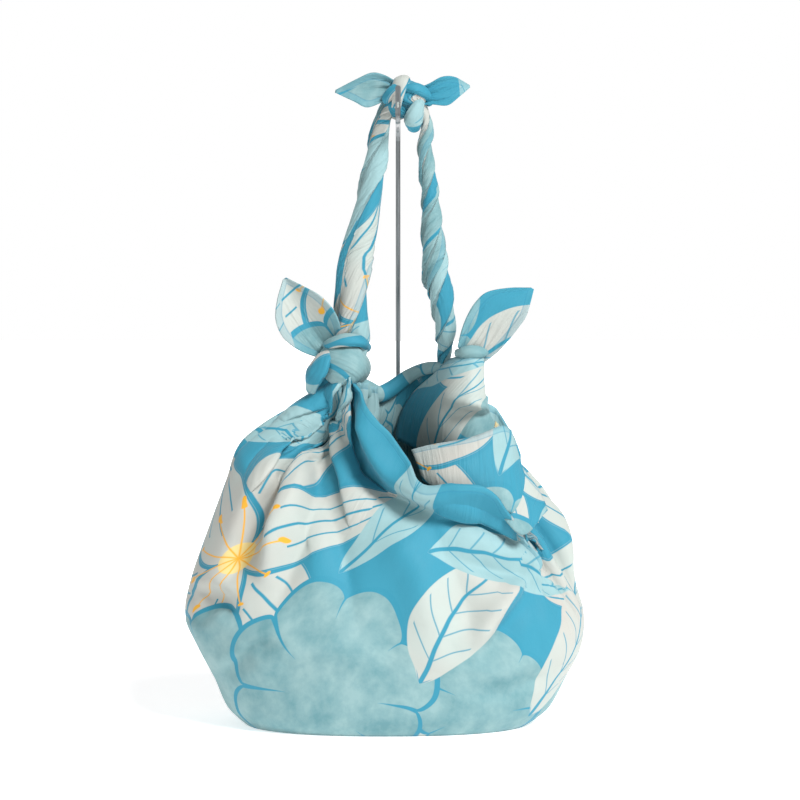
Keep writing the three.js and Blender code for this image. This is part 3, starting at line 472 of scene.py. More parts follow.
# A panel's cross-section starts under its edge, comes round it, and ends under its other side:
# shares of the way across, and how far below its top each lies in mm
ACROSS_PANEL = np.array([0.30, 0.12, 0.03, 0, 0.03, 0.10, 0.22, 0.40, 0.60, 0.78, 0.90, 0.97, 1, 0.97, 0.86])
BELOW_TOP = np.array([3.2, 3.0, 2.6, 1.4, 0.3, 0, 0, 0, 0, 0, 0, 0.3, 1.4, 2.6, 3.0])
PANEL_ROWS = 46
PANEL_SWELL = 2.5  # mm that a panel's middle stands out further
PANEL_SINK = 4.0  # mm under the wall, where the panel runs out
for edge, other, lift, far_lift in OVERLAPS:
    near = curve_through(edge, PANEL_ROWS)[:, None]
    far = curve_through(other, PANEL_ROWS)[:, None]
    place = near + (far - near) * ACROSS_PANEL[None, :, None]
    y, normal, print_uv = front_at(place[..., 0], place[..., 1])
    height = lift + (far_lift - lift) * ACROSS_PANEL + PANEL_SWELL * np.sin(np.pi * ACROSS_PANEL) - BELOW_TOP
    share = np.linspace(0, 1, PANEL_ROWS)[:, None]
    height = -PANEL_SINK + (height + PANEL_SINK) * (1 - ramp(share, 0.55, 1))
    panel = np.stack([place[..., 0], y, place[..., 1]], -1) + normal * height[..., None]
    add_thick_grid(panel, print_uv, np.full(height.shape, NO_HEM), 0.3)

# ---- Inner layers at the front right --------------------------------------------------------
# The front right corner is gathered up behind the front hem, so loose layers of the cloth stand
# one behind the other there: one behind the hem, one at the side, and one that rises into the
# right knot.
# Each sheet: its top, middle and foot edges, the depth of the tuck across it, and its print place
LAYERS = (
    (
        [(25, -46, 279), (54, -58, 286), (84, -60, 295), (112, -48, 302), (124, -28, 296)],
        [(31, -62, 266), (58, -78, 263), (88, -81, 262), (118, -67, 261), (137, -47, 252)],
        [(36, -66, 252), (62, -84, 240), (92, -87, 230), (124, -76, 220), (150, -56, 208)],
        0, 160,
    ),
    (
        [(108, -40, 307), (118, -42, 292), (127, -42, 275), (138, -42, 256), (152, -38, 236)],
        [(102, -58, 284), (112, -66, 262), (122, -68, 244), (136, -62, 232), (156, -48, 228)],
        [(96, -66, 260), (104, -78, 234), (118, -82, 212), (136, -78, 200), (159, -56, 221)],
        0, 640,
    ),
    (
        [(56, 26, 352), (62, 10, 362), (72, -8, 369), (86, -14, 373), (97, -6, 373), (99, 6, 369)],
        [(22, 50, 320), (40, 16, 322), (60, -22, 322), (84, -38, 322), (100, -22, 318), (102, 5, 314)],
        [(10, 53, 280), (34, 18, 272), (60, -20, 268), (90, -44, 270), (118, -26, 280), (128, 4, 286)],
        14, 420,
    ),
)
LAYER_COLUMNS = 42
LAYER_ROWS = 28
LAYER_PRINT_TOP = 200

for top, middle, foot, tuck, print_place in LAYERS:
    # a parabola down the sheet goes through its three edges
    edges = [curve_through(edge, LAYER_COLUMNS) for edge in (top, middle, foot)]
    share = np.linspace(0, 1, LAYER_ROWS)[:, None, None]
    sheet = edges[0] * (1 - share) * (1 - 2 * share) + edges[1] * 4 * share * (1 - share)
    sheet += edges[2] * share * (2 * share - 1)
    share = share[..., 0]
    side = np.linspace(0, 1, LAYER_COLUMNS)[None, :]
    # soft waves down the sheet, and a tuck: below a line across it the cloth steps back
    sheet[..., 1] += 2.6 * np.sin(11 * side + 4 * share) * share
    sheet[..., 2] += 1.6 * np.sin(9 * side) * (1 - share)
    line = 0.50 + 0.10 * (side - 0.6)
    across_tuck = ramp(side, 0.3, 0.6)
    step_back = ramp(share, line - 0.01, line + 0.05) * (1 - ramp(share, 0.6, 1))
    fold_out = np.exp(-(((share - line + 0.05) / 0.06) ** 2))
    sheet[..., 1] += tuck * step_back * across_tuck
    sheet[..., 1] -= 0.5 * tuck * fold_out * across_tuck
    drop = lengths_down(sheet)
    across = lengths_down(np.swapaxes(sheet, 0, 1)).T
    layer_uv = np.stack([across + print_place, LAYER_PRINT_TOP - drop], -1)
    add_thick_grid(sheet, layer_uv, drop, 0.25)

# ---- Rolled back rim ------------------------------------------------------------------------
# The back edge of the mouth is rolled over on itself from knot to knot, as a soft flat tube.
ROLL_FROM = 42
ROLL_TO = 146
ROLL_STEPS = 70
ROLL_SIDES = 24
roll_angle = np.linspace(ROLL_FROM, ROLL_TO, ROLL_STEPS)
roll_line = np.stack([smooth_table(RIM[:, 0], RIM[:, i], roll_angle) for i in (1, 2, 3)], -1)
roll_line += (0, -3, -4)


def sweep(line, across, wide, deep, ripple, sides):
    """Rings of the oval (wide*cos a, deep*sin a)*(1 + ripple(a, t)) square to a line, t being the
    share of its length; across is the direction of its width."""
    tangent = unit(np.gradient(line, axis=0))
    across = unit(across - tangent * np.sum(across * tangent, -1, keepdims=True))
    depth = np.cross(tangent, across)
    a = np.linspace(0, 2 * np.pi, sides, endpoint=False)
    reach = 1 + ripple(a[None, :], np.linspace(0, 1, len(line))[:, None])
    u = wide[:, None] * np.cos(a) * reach
    v = deep[:, None] * np.sin(a) * reach
    return line[:, None] + u[..., None] * across[:, None] + v[..., None] * depth[:, None]


def ring_uv(rings, place):
    """Print place of each ring point: distance around and along the tube, in mm of cloth."""
    closed = np.concatenate([rings, rings[:, :1]], 1)
    around = lengths_down(np.swapaxes(closed, 0, 1)).T
    along = lengths_down(rings).mean(1)[:, None]
    return np.stack([place[0] + around, place[1] + np.broadcast_to(along, around.shape)], -1)


def roll_ripple(a, t):
    """Three low ridges, 0.05*sin(3*a), that wind along the roll."""
    return 0.05 * np.sin(3 * a + 9 * t)


roll_across = np.tile((0, 0.15, 1.0), (ROLL_STEPS, 1))
roll_wide = np.linspace(4.5, 10.5, ROLL_STEPS)
roll_deep = np.linspace(4, 6, ROLL_STEPS)
roll = sweep(roll_line, roll_across, roll_wide, roll_deep, roll_ripple, ROLL_SIDES)
add_stack(roll, ring_uv(roll, (110, 330)), np.full(roll.shape[:2], NO_HEM), "fan", 0.3)

# ---- Handle strands -------------------------------------------------------------------------
# The long corner of each side is rolled up and twisted, the left one loosely and the right one
# tightly. A level cut is a spiral of one layer, flattened and turned as it rises.
# Each station: x, y, z, half width, half depth
LEFT_STRAND = (
    (-36, -4, 352, 19, 17), (-34, -2, 387, 21, 18), (-33, 0, 423, 20.5, 18), (-31, 1, 463, 20, 17),
    (-23, 2, 504, 16, 15), (-13, 2, 548, 14.5, 14), (-8, 1, 581, 13, 12), (-2, 0, 605, 10.5, 10),
    (6, -1, 621, 9, 9),
)
RIGHT_STRAND = (
    (64, 30, 340, 8, 8), (59, 25, 366, 8.5, 9), (59, 12, 392, 12, 12), (55, 4, 425, 15, 14),
    (50, 2, 455, 16.5, 15), (45, 2, 501, 12.5, 12), (43, 2, 538, 10.5, 10.5), (39, 2, 575, 9, 9),
    (40, 1, 599, 7.5, 8), (33, 0, 617, 8, 8),
)


STRAND_ROWS = 80
INNER_SIDES = 19
OUTER_SIDES = 58
OUTER_COILS = 1.3  # the last rounds of the spiral, which show
HEART = 0.34  # share of the radius where the spiral starts
EDGE_START = 0.92  # share of a fold's width after which it drops
STRAND_TUCK = 70.0  # mm of cloth hidden under each overlapped edge


def strand(stations, coils, twist, folds, fold_depth, pleats, print_place):
    """Spiral of one layer, radius from HEART to 1 of the strand's over its coils, as a closed band.
    Each fold is a sawtooth of the radius, rising slowly and dropping at once like an overlapped
    edge, and the whole turns by twist rounds from end to end."""
    line = curve_through(stations, STRAND_ROWS)
    centre, wide, deep = line[:, :3], line[:, 3], line[:, 4]
    share = np.linspace(0, 1, STRAND_ROWS)[:, None]
    hidden = np.linspace(0, coils - OUTER_COILS, INNER_SIDES + 1)[:-1]
    shown = np.linspace(coils - OUTER_COILS, coils, OUTER_SIDES)
    a = 2 * np.pi * np.concatenate([hidden, shown])[None, :]
    turn = 2 * np.pi * twist * share
    wander = 0.5 * np.sin(5 * share) + 0.4 * np.sin(13 * share + 1)
    tooth = folds * (a + wander) / (2 * np.pi)
    overlaps, tooth = np.floor(tooth), tooth % 1
    overlaps = overlaps + np.clip((tooth - EDGE_START) / (1 - EDGE_START), 0, 1)
    fold = 1 + fold_depth * (np.minimum(tooth / EDGE_START, (1 - tooth) / (1 - EDGE_START)) - 1)
    fold = fold + pleats * (np.sin(9 * a + 6 * share) + 0.6 * np.sin(17 * a - 9 * share))
    radius = (HEART + (1 - HEART) * a / a.max()) * fold
    tangent = unit(np.gradient(centre, axis=0))
    x_way = unit(np.array([1.0, 0, 0]) - tangent * tangent[:, :1])
    y_way = np.cross(tangent, x_way)

    def face(radius):
        """One face of the spiral: centre + radius*(wide*cos, deep*sin) of its turned angle."""
        u = wide[:, None] * radius * np.cos(a + turn)
        v = deep[:, None] * radius * np.sin(a + turn)
        return centre[:, None] + u[..., None] * x_way[:, None] + v[..., None] * y_way[:, None]

    outside = face(radius)
    inside = face(radius - CLOTH / wide[:, None])
    ring = np.concatenate([outside, inside[:, ::-1]], 1)
    around = lengths_down(np.swapaxes(outside, 0, 1)).T
    along = lengths_down(outside).mean(1)[:, None] + 0 * around
    uv = np.stack([print_place[0] + around + STRAND_TUCK * overlaps, print_place[1] + along], -1)
    uv = np.concatenate([uv, uv[:, ::-1], uv[:, :1]], 1)
    edge = around.max(1, keepdims=True) - around
    add_stack(ring, uv, np.concatenate([edge, edge[:, ::-1]], 1), "zip", 0.5)


strand(LEFT_STRAND, 3.6, 0.95, 3, 0.36, 0.010, (150, 150))
strand(RIGHT_STRAND, 3.4, 3.1, 3, 0.28, 0.014, (330, 300))

# ---- Knots ----------------------------------------------------------------------------------
# Each knot is a tight core with bands of the gathered cloth crossing over it; a band is a soft
# flat tube, some with a few pleats along them.
KNOT_CORES = (
    (-43, -7, 360, 21, 20, 23), (86, 4, 354, 11, 11, 20), (22, 0, 625, 19, 15, 14),
    (12, 0, 616, 12, 12, 13.3),
)
# Each band: width, thickness, pleats, its core, the place of its print, and its path
BANDS = (
    (44, 5, 0, 0, (90, 60), (
        (-66, 6, 368), (-60, -16, 371), (-43, -30, 366), (-25, -26, 360), (-18, -4, 355),
    )),
    (13, 8, 1, 0, (300, 60), (
        (-60, 2, 378), (-54, -16, 383), (-40, -24, 387), (-25, -18, 385), (-19, 0, 377),
    )),
    (25, 5, 2, 0, (150, 330), (
        (-55, -18, 374), (-64, -22, 368), (-70, -23, 358), (-75, -20, 347), (-76, -6, 334),
    )),
    (13, 6, 1, 1, (250, 60), ((71, -3, 372), (80, -13, 375), (92, -12, 375), (100, -2, 372))),
    (15, 6, 1, 2, (180, 250), ((20, 15, 629), (17, 8, 640), (14, -9, 642), (12, -16, 630), (10, -15, 614))),
    (19, 9, 1, 2, (110, 380), ((34, 0, 624), (32, -9, 612), (28, -9, 601), (28, -2, 594))),
    (10, 6, 1, 2, (20, 250), ((18, -13, 634), (30, -13, 634), (41, -4, 628), (43, 6, 619))),
    (10, 6, 1, 2, (20, 280), ((2, 6, 622), (0, -8, 624), (8, -15, 632), (20, -10, 638), (30, 0, 636))),
)
CORE_ROWS = 20
CORE_SIDES = 28
CORE_END = 0.08  # the angle at each pole that the flat end takes, in radians
BAND_STEPS = 30
BAND_SIDES = 24

for x, y, z, rx, ry, rz in KNOT_CORES:
    # an ellipsoid: (rx*sin b*cos a, ry*sin b*sin a, -rz*cos b)
    b = np.linspace(CORE_END, np.pi - CORE_END, CORE_ROWS)[:, None]
    a = np.linspace(0, 2 * np.pi, CORE_SIDES, endpoint=False)[None, :]
    core_x = x + rx * np.sin(b) * np.cos(a)
    core_y = y + ry * np.sin(b) * np.sin(a)
    core = np.stack([core_x, core_y, z - rz * np.cos(b) + 0 * a], -1)
    add_stack(core, ring_uv(core, (60, 300)), np.full(core.shape[:2], NO_HEM), "fan", 1.0)

for width, thick, pleats, core_index, print_place, path in BANDS:
    line = curve_through(path, BAND_STEPS)
    share = np.linspace(0, 1, BAND_STEPS)
    out = line - np.array(KNOT_CORES[core_index][:3])
    across = np.cross(out, np.gradient(line, axis=0))
    end = 0.45 + 0.55 * np.sin(np.pi * np.clip(share, 0.08, 0.92))
    band_deep = np.full(BAND_STEPS, thick / 2 + 0.6)

    def band_pleats(a, t, count=pleats):
        """Pleats along the band, 0.16*|sin((count + 1)*a)|, deepest at its middle."""
        return 0.16 * np.abs(np.sin((count + 1) * a)) * np.sin(np.pi * t)

    rings = sweep(line, across, (width / 2) * end + 1, band_deep, band_pleats, BAND_SIDES)
    # the band's edges curl back around the core, by the square of their distance from its middle
    off = np.sum((rings - line[:, None]) * unit(across)[:, None], -1)
    rings = rings - unit(out)[:, None] * (off**2 / (2 * KNOT_CORES[core_index][3]))[..., None]
    add_stack(rings, ring_uv(rings, print_place), np.full(rings.shape[:2], NO_HEM), "fan", 0.4)

# ---- Tails ----------------------------------------------------------------------------------
# The four corners of the square stand out of the knots as leaf-shaped ends, hollowed along their
# middle, with the hem showing along both sides.
# Each tail: its stations (x, y, z, half width), the direction of its width, the depth of its
# hollow, and the place of its print
TAILS = (
    (
        ((-52, -4, 369, 8), (-64, -8, 385, 22), (-76, -11, 401, 28), (-87, -12, 417, 25),
         (-95, -10, 431, 15), (-101, -6, 446, 1.5)),
        (0.86, 0.0, 0.5), 15, (70, 120),
    ),
    (
        ((84, -8, 370, 15), (93, -9, 384, 21), (101, -10, 397, 24), (110, -11, 410, 25),
         (120, -11, 421, 23), (133, -8, 430, 13), (146, -5, 436, 1.5)),
        (0.8, 0.12, -0.5), 6, (330, 60),
    ),
    (
        ((12, -4, 632, 6), (-2, -7, 633, 13), (-16, -9, 632, 17), (-30, -9, 632, 11), (-50, -6, 631, 1.2)),
        (0.16, 0.0, 1), 7, (200, 10),
    ),
    (
        ((30, -3, 625, 8), (44, -7, 628, 10), (58, -8, 631, 14), (70, -7, 635, 10), (83, -4, 636, 1.2)),
        (-0.2, 0.0, 1), 6, (440, 90),
    ),
)
TAIL_ROWS = 44
TAIL_COLUMNS = 22
TAIL_PRINT = 95  # mm of cloth from a tail's root to its tip
HOLLOW_SPAN = 28
for stations, side_way, hollow, print_place in TAILS:
    # w runs from -1 to 1 across: a point lies at the middle + w*half width, set back or forward by
    # hollow*(0.5 - w^2*half width/HOLLOW_SPAN)
    line = curve_through(stations, TAIL_ROWS)
    w = np.linspace(-1, 1, TAIL_COLUMNS)[None, :]
    half_width = line[:, 3:4]
    share = np.linspace(0, 1, TAIL_ROWS)[:, None]
    tail = line[:, None, :3] + (half_width * w)[..., None] * unit(np.array(side_way, float))
    cup = hollow * (0.5 - w * w * half_width / HOLLOW_SPAN)
    pleat = 1.8 * np.cos(9 * w) * (1 - share) ** 2
    tail[..., 1] += cup + pleat
    uv = np.stack([print_place[0] + half_width * w, print_place[1] + TAIL_PRINT * share + 0 * w], -1)
    edge = half_width * (1 - np.abs(w))
    add_thick_grid(tail, uv, edge, 0.9 * (1 - share) + 0 * w)

# ---- The cloth as one piece -----------------------------------------------------------------
# All of it is one square of cloth, so its parts are joined in one mesh, with the print laid on
# it in metres of flat cloth and each point's distance from the hem kept for the stitched edge.
MM = 0.001
vertex_parts = []
mark_parts = []
face_lists = []
uv_parts = []
offset = 0
for vertices, marks, quads, corners, triangles, tri_uv in cloth_groups:
    vertex_parts.append(vertices)
    mark_parts.append(marks)
    face_lists += (quads + offset).tolist() + (triangles + offset).tolist()
    uv_parts += [corners.reshape(-1, 2), tri_uv.reshape(-1, 2)]
    offset += len(vertices)
cloth_mesh = bpy.data.meshes.new("furoshiki_cloth")
cloth_mesh.from_pydata((np.concatenate(vertex_parts) * MM).tolist(), [], face_lists)
print_map = cloth_mesh.uv_layers.new(name="flat_cloth")
print_map.data.foreach_set("uv", (np.concatenate(uv_parts) * MM).ravel())
marks = np.concatenate(mark_parts)
for name, values in (("hem_distance", marks[:, 0] * MM), ("gathered", marks[:, 1])):
    cloth_mesh.attributes.new(name, "FLOAT", "POINT").data.foreach_set("value", values)
cloth_mesh.shade_smooth()
cloth = bpy.data.objects.new("furoshiki_cloth", cloth_mesh)
bpy.context.collection.objects.link(cloth)
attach(cloth, "root")
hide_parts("cloth")

# ---- Printed cloth --------------------------------------------------------------------------
# Light twill with a soft sateen face, printed on a blue ground with round scalloped blossoms in
# grey-teal wash, pointed cream flowers with yellow stamens, and cream and mint leaves. The design
# repeats every half metre of flat cloth.
REPEAT = 0.5


def linear(red, green, blue):
    """A colour given as 0 to 255 on screen, as linear light: ((c + 0.055) / 1.055)^2.4."""
    return tuple(((c / 255 + 0.055) / 1.055) ** 2.4 for c in (red, green, blue)) + (1,)


class Field:
    """A number at every point of the surface, worked out by Math nodes."""

    def __init__(self, tree, socket):
        self.tree = tree
        self.socket = socket

    def math(self, operation, *others, clamp=False):
        """The result of one Math node on this number and the others."""
        node = self.tree.nodes.new("ShaderNodeMath")
        node.operation = operation
        node.use_clamp = clamp
        for slot, value in zip(node.inputs, (self,) + others):
            if isinstance(value, Field):
                self.tree.links.new(value.socket, slot)
            else:
                slot.default_value = value
        return Field(self.tree, node.outputs[0])

    def __add__(self, other):
        return self.math("ADD", other)

    def __sub__(self, other):
        return self.math("SUBTRACT", other)

    def __mul__(self, other):
        return self.math("MULTIPLY", other)

    def __truediv__(self, other):
        return self.math("DIVIDE", other)

    def abs(self):
        return self.math("ABSOLUTE")

    def most(self, other):
        return self.math("MAXIMUM", other)

    def wrap(self, half):
        return self.math("WRAP", half, -half)

    def under(self, soft=0.0009):
        """1 where the number is below zero and 0 above, with an edge soft metres wide."""
        return self.math("MULTIPLY_ADD", -1.0 / soft, 0.5, clamp=True)

    def past(self, limit=0.0):
        """1 where the number is above a limit and 0 elsewhere."""
        return self.math("GREATER_THAN", limit)

    def held(self):
        """The number kept between 0 and 1."""
        return self.math("ADD", 0.0, clamp=True)


cloth_paint = bpy.data.materials.new("printed_cloth")
cloth_paint.use_nodes = True
tree = cloth_paint.node_tree
shader = tree.nodes["Principled BSDF"]


def node(kind, **settings):
    """A new node of the cloth's material with its settings."""
    made = tree.nodes.new(kind)
    for key, value in settings.items():
        setattr(made, key, value)
    return made


def noise(place, scale, detail=3.0, rough=0.55):
    """Noise texture at a place, as a number from 0 to 1."""
    made = node("ShaderNodeTexNoise", noise_dimensions="3D")
    made.inputs["Scale"].default_value = scale
    made.inputs["Detail"].default_value = detail
    made.inputs["Roughness"].default_value = rough
    tree.links.new(place, made.inputs["Vector"])
    return Field(tree, made.outputs["Fac"])


def blend(amount, under, over):
    """Colour over another by an amount; each colour is a fixed one or a socket."""
    mix = node("ShaderNodeMix", data_type="RGBA")
    tree.links.new(amount.socket, mix.inputs["Factor"])
    for slot, colour in ((mix.inputs[6], under), (mix.inputs[7], over)):
        if isinstance(colour, tuple):
            slot.default_value = colour
        else:
            tree.links.new(colour, slot)
    return mix.outputs[2]


flat_place = node("ShaderNodeUVMap", uv_map="flat_cloth").outputs["UV"]
split = node("ShaderNodeSeparateXYZ")
tree.links.new(flat_place, split.inputs[0])
BRUSH_STRAY = 0.010  # how far the brush strays from a true shape, in metres
BRUSH_SWAY = 17
print_u = Field(tree, split.outputs[0]) + (noise(flat_place, BRUSH_SWAY, 1) - 0.5) * BRUSH_STRAY
shifted = node("ShaderNodeVectorMath", operation="ADD")
shifted.inputs[1].default_value = (3.7, 1.9, 0)
tree.links.new(flat_place, shifted.inputs[0])
print_v = Field(tree, split.outputs[1]) + (noise(shifted.outputs[0], BRUSH_SWAY, 1) - 0.5) * BRUSH_STRAY


def local(centre, degrees):
    """The print's coordinates around a motif's centre, turned by its angle, within one repeat."""
    c = math.cos(math.radians(degrees))
    s = math.sin(math.radians(degrees))
    dx = (print_u - centre[0]).wrap(REPEAT / 2)
    dy = (print_v - centre[1]).wrap(REPEAT / 2)
    return dx * c + dy * s, dy * c - dx * s


def polar(x, y):
    """Distance and angle from a motif's centre."""
    return (x * x + y * y).math("SQRT"), y.math("ARCTAN2", x)


GROUND = linear(48, 130, 153)
GROUND_PALE = linear(64, 142, 162)
MINT = linear(140, 174, 178)
WASH = linear(94, 137, 143)
WASH_PALE = linear(132, 163, 165)
IVORY = linear(170, 180, 175)
PEACH = linear(174, 168, 161)
AMBER = linear(214, 158, 52)
STRAW = linear(208, 188, 128)
STITCH = linear(40, 120, 150)
LINE_GAP = 0.0008  # metres of ground left inside a motif's edge
BRUSH_LINE = 0.0030  # half width of the brush line around a blossom

cloudy = noise(flat_place, 26, 5, 0.62)
wash_tone = blend(cloudy.math("MULTIPLY_ADD", 3.2, -1.15, clamp=True), WASH_PALE, WASH)
ivory_tone = blend(noise(flat_place, 9, 2).math("MULTIPLY_ADD", 2.2, -0.75, clamp=True), IVORY, PEACH)
mint_tone = blend(cloudy.math("MULTIPLY_ADD", 1.8, -0.5, clamp=True), MINT, WASH_PALE)
ground_tone = blend(noise(flat_place, 5, 2).math("MULTIPLY_ADD", 0.5, -0.1, clamp=True), GROUND, GROUND_PALE)


def leaf(colour, centre, degrees, length, width, tone):
    """Leaf of half width w*sin(pi*(x/L)^0.8) along x, with a middle vein and slanting side veins,
    laid over a colour."""
    x, y = local(centre, degrees)
    share = (x / length).held()
    bend = y + (x * x) * (0.9 * width / length**2) * 2
    half = (share.math("POWER", 0.8) * math.pi).math("SINE") * width
    inside = (bend.abs() - half + LINE_GAP).under()
    vein = (bend.abs() - (share * -0.0018 + 0.0024)).under()
    slant = ((x - bend.abs() * 1.3) / (length / 7)).math("PINGPONG", 0.5)
    side_vein = (slant * (length / 7) - 0.0012).under() * (half * 0.82 - bend.abs()).past()
    colour = blend(inside, colour, tone)
    return blend(inside * vein.most(side_vein * 0.75), colour, GROUND)


def blossom(colour, centre, degrees, radius, lobes, tone):
    """Scalloped blossom: round lobes with their edge at R*(0.84 + 0.16*|sin(n*a/2)|^0.6), and
    brush lines that run in from where the lobes meet and thin out."""
    x, y = local(centre, degrees)
    r, a = polar(x, y)
    scallop = (a * (lobes / 2)).math("SINE").abs()
    edge = scallop.math("POWER", 0.6) * (0.16 * radius) + 0.84 * radius
    inside = (r - edge).under()
    rim_line = ((r - edge).abs() - BRUSH_LINE).under()
    reach = (a * 2.0 + 1.0).math("SINE") * (0.16 * radius) + 0.58 * radius
    part = (scallop * r * (2 / lobes) - (r - reach) * 0.06).under() * (r - reach).past()
    lines = rim_line.most(inside * part) * (r - edge - 0.0031).under()
    colour = blend(inside, colour, tone)
    return blend(lines, colour, GROUND)


def flower(colour, centre, degrees, radius, petals, width, tone):
    """Pointed flower: two whorls of petals, half width w*sin(pi*t^0.75)^0.85 at a share t of their
    length, each with an outline and three veins, and stamens as dots on fine threads."""
    x, y = local(centre, degrees)
    r, a = polar(x, y)
    for turn, size in ((math.pi / petals, radius), (0.0, radius * 0.9)):
        swing = (a + turn).wrap(math.pi / petals)
        along = r * swing.math("COSINE")
        off = (r * swing.math("SINE")).abs()
        share = (along / size).held()
        half = (share.math("POWER", 0.75) * math.pi).math("SINE").math("POWER", 0.85) * width
        inside = (off - half + LINE_GAP).under() * share.math("LESS_THAN", 0.999)
        outline = (off - half).abs() - 0.0026
        vein = (off - 0.0013).under() * (share - 0.25).past()
        side = ((off - half * 0.45).abs() - 0.0010).under() * (share - 0.35).past()
        halo = (off - half - 0.0036).under() * share.math("LESS_THAN", 1.0)
        colour = blend(halo, colour, GROUND)
        colour = blend(inside, colour, tone)
        colour = blend(inside * vein.most(side).most(outline.under()), colour, GROUND)
    spread = (a + 0.2).wrap(math.pi / 11)
    reach = noise(flat_place, 60, 0) * (0.16 * radius) + 0.24 * radius
    off = (r * spread.math("SINE")).abs()
    thread = (off - 0.0007).under() * (r - reach).under()
    dot = ((r - reach) * (r - reach) + off * off).math("SQRT") - 0.0032
    colour = blend((r - 0.09 * radius).under(), colour, STRAW)
    colour = blend(thread, colour, AMBER)
    return blend(dot.under(), colour, AMBER)


# The print, in the order in which it is laid down. Each motif: its kind, its centre in the repeat,
# its angle, its length or radius, then its half width or its number of lobes or petals, its tone
MOTIFS = (
    (flower, (0.130, 0.205), 8, 0.180, 3, 0.040, ivory_tone),
    (flower, (0.365, 0.405), -22, 0.160, 3, 0.036, ivory_tone),
    (leaf, (0.245, 0.150), 62, 0.23, 0.034, mint_tone),
    (leaf, (0.480, 0.190), 118, 0.21, 0.032, ivory_tone),
    (leaf, (0.030, 0.345), 30, 0.20, 0.030, mint_tone),
    (blossom, (0.085, 0.060), 40, 0.105, 7, wash_tone),
    (blossom, (0.405, 0.030), 70, 0.085, 7, wash_tone),
    (blossom, (0.225, 0.022), 30, 0.125, 9, wash_tone),
    (leaf, (0.330, 0.035), 72, 0.20, 0.032, ivory_tone),
    (leaf, (0.470, 0.040), 78, 0.21, 0.034, ivory_tone),
    (leaf, (0.330, 0.165), 20, 0.19, 0.026, mint_tone),
    (blossom, (0.425, 0.370), 70, 0.100, 9, mint_tone),
)
printed = ground_tone
for motif, *measures in MOTIFS:
    printed = motif(printed, *measures)

# The hem: a paler band along the edge, and its line of stitches
HEM_TURN = 0.0062
hem = Field(tree, node("ShaderNodeAttribute", attribute_name="hem_distance").outputs["Fac"])
hem_stitch = ((hem - HEM_TURN).abs() - 0.0006).under(0.0006)
hem_band = (hem - HEM_TURN).under(0.0012)
printed = blend(hem_band * 0.30, printed, GROUND_PALE)
printed = blend(hem_stitch * 0.35, printed, STITCH)
tree.links.new(printed, shader.inputs["Base Color"])

# The surface, in three steps of relief: the twill's fine diagonal, soft crumples with the
# stitched line sunk in, and the pleats
WEAVE = 0.0011  # pitch of the twill in metres
diagonal = (Field(tree, split.outputs[0]) + Field(tree, split.outputs[1])) * (2 * math.pi / WEAVE)
twill = diagonal.math("SINE") * 0.5 + noise(flat_place, 900, 2) * 0.6
crumple = noise(flat_place, 34, 4) - hem_stitch * 0.25
# Fine pleats run with the gathered cloth: long narrow ridges, 1 - 2|n - 0.5| of a noise that is
# stretched along the print's v
stretched = node("ShaderNodeVectorMath", operation="MULTIPLY")
stretched.inputs[1].default_value = (120, 13, 1)
tree.links.new(flat_place, stretched.inputs[0])
ridges = (noise(stretched.outputs[0], 1, 2.0, 0.5) - 0.5).abs() * -2.0 + 1.0
gathered = Field(tree, node("ShaderNodeAttribute", attribute_name="gathered").outputs["Fac"])
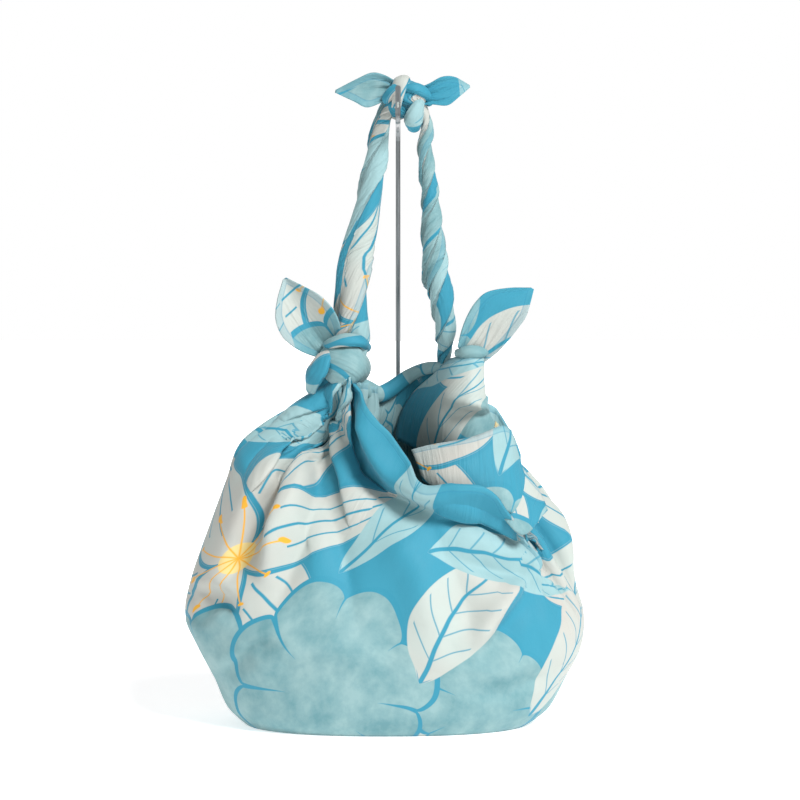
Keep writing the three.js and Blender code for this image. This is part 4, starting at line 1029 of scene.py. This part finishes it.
# Each step: its height, its strength, and its depth in metres
RELIEFS = (
    (twill, 0.16, 0.0003),
    (crumple, 0.22, 0.004),
    (ridges * gathered, 0.9, 0.0045),
)
relief = None
for height, strength, distance in RELIEFS:
    bump = node("ShaderNodeBump")
    bump.inputs["Strength"].default_value = strength
    bump.inputs["Distance"].default_value = distance
    tree.links.new(height.socket, bump.inputs["Height"])
    if relief is not None:
        tree.links.new(relief, bump.inputs["Normal"])
    relief = bump.outputs[0]
tree.links.new(relief, shader.inputs["Normal"])
roughness = noise(flat_place, 120, 3) * 0.12 + 0.56
tree.links.new(roughness.socket, shader.inputs["Roughness"])
shader.inputs["Sheen Weight"].default_value = 0.10
shader.inputs["Sheen Roughness"].default_value = 0.4
shader.inputs["Specular IOR Level"].default_value = 0.22
cloth_mesh.materials.append(cloth_paint)

# ---- Rod and foot ---------------------------------------------------------------------------
# Drawn steel rod and a plain steel plate, both with a brushed grey finish.
steel = bpy.data.materials.new("brushed_steel")
steel.use_nodes = True
steel_tree = steel.node_tree
steel_shader = steel_tree.nodes["Principled BSDF"]
steel_place = steel_tree.nodes.new("ShaderNodeTexCoord")
stretch = steel_tree.nodes.new("ShaderNodeMapping")
stretch.inputs["Scale"].default_value = (900, 900, 30)
grain = steel_tree.nodes.new("ShaderNodeTexNoise")
grain.inputs["Scale"].default_value = 1.0
grain.inputs["Detail"].default_value = 4
tone = steel_tree.nodes.new("ShaderNodeValToRGB")
tone.color_ramp.elements[0].color = (0.13, 0.145, 0.15, 1)
tone.color_ramp.elements[1].color = (0.36, 0.38, 0.39, 1)
steel_rough = steel_tree.nodes.new("ShaderNodeMath")
steel_rough.operation = "MULTIPLY_ADD"
steel_rough.inputs[1].default_value = 0.25
steel_rough.inputs[2].default_value = 0.22
steel_bump = steel_tree.nodes.new("ShaderNodeBump")
steel_bump.inputs["Strength"].default_value = 0.12
steel_bump.inputs["Distance"].default_value = 0.0002
for start, end in (
    (steel_place.outputs["Object"], stretch.inputs["Vector"]),
    (stretch.outputs[0], grain.inputs["Vector"]),
    (grain.outputs["Fac"], tone.inputs[0]),
    (tone.outputs[0], steel_shader.inputs["Base Color"]),
    (grain.outputs["Fac"], steel_rough.inputs[0]),
    (steel_rough.outputs[0], steel_shader.inputs["Roughness"]),
    (grain.outputs["Fac"], steel_bump.inputs["Height"]),
    (steel_bump.outputs[0], steel_shader.inputs["Normal"]),
):
    steel_tree.links.new(start, end)
steel_shader.inputs["Metallic"].default_value = 1.0
for name in ("stand_rod", "stand_foot"):
    node_mesh = bpy.data.objects[name].data
    node_mesh.materials.clear()
    node_mesh.materials.append(steel)
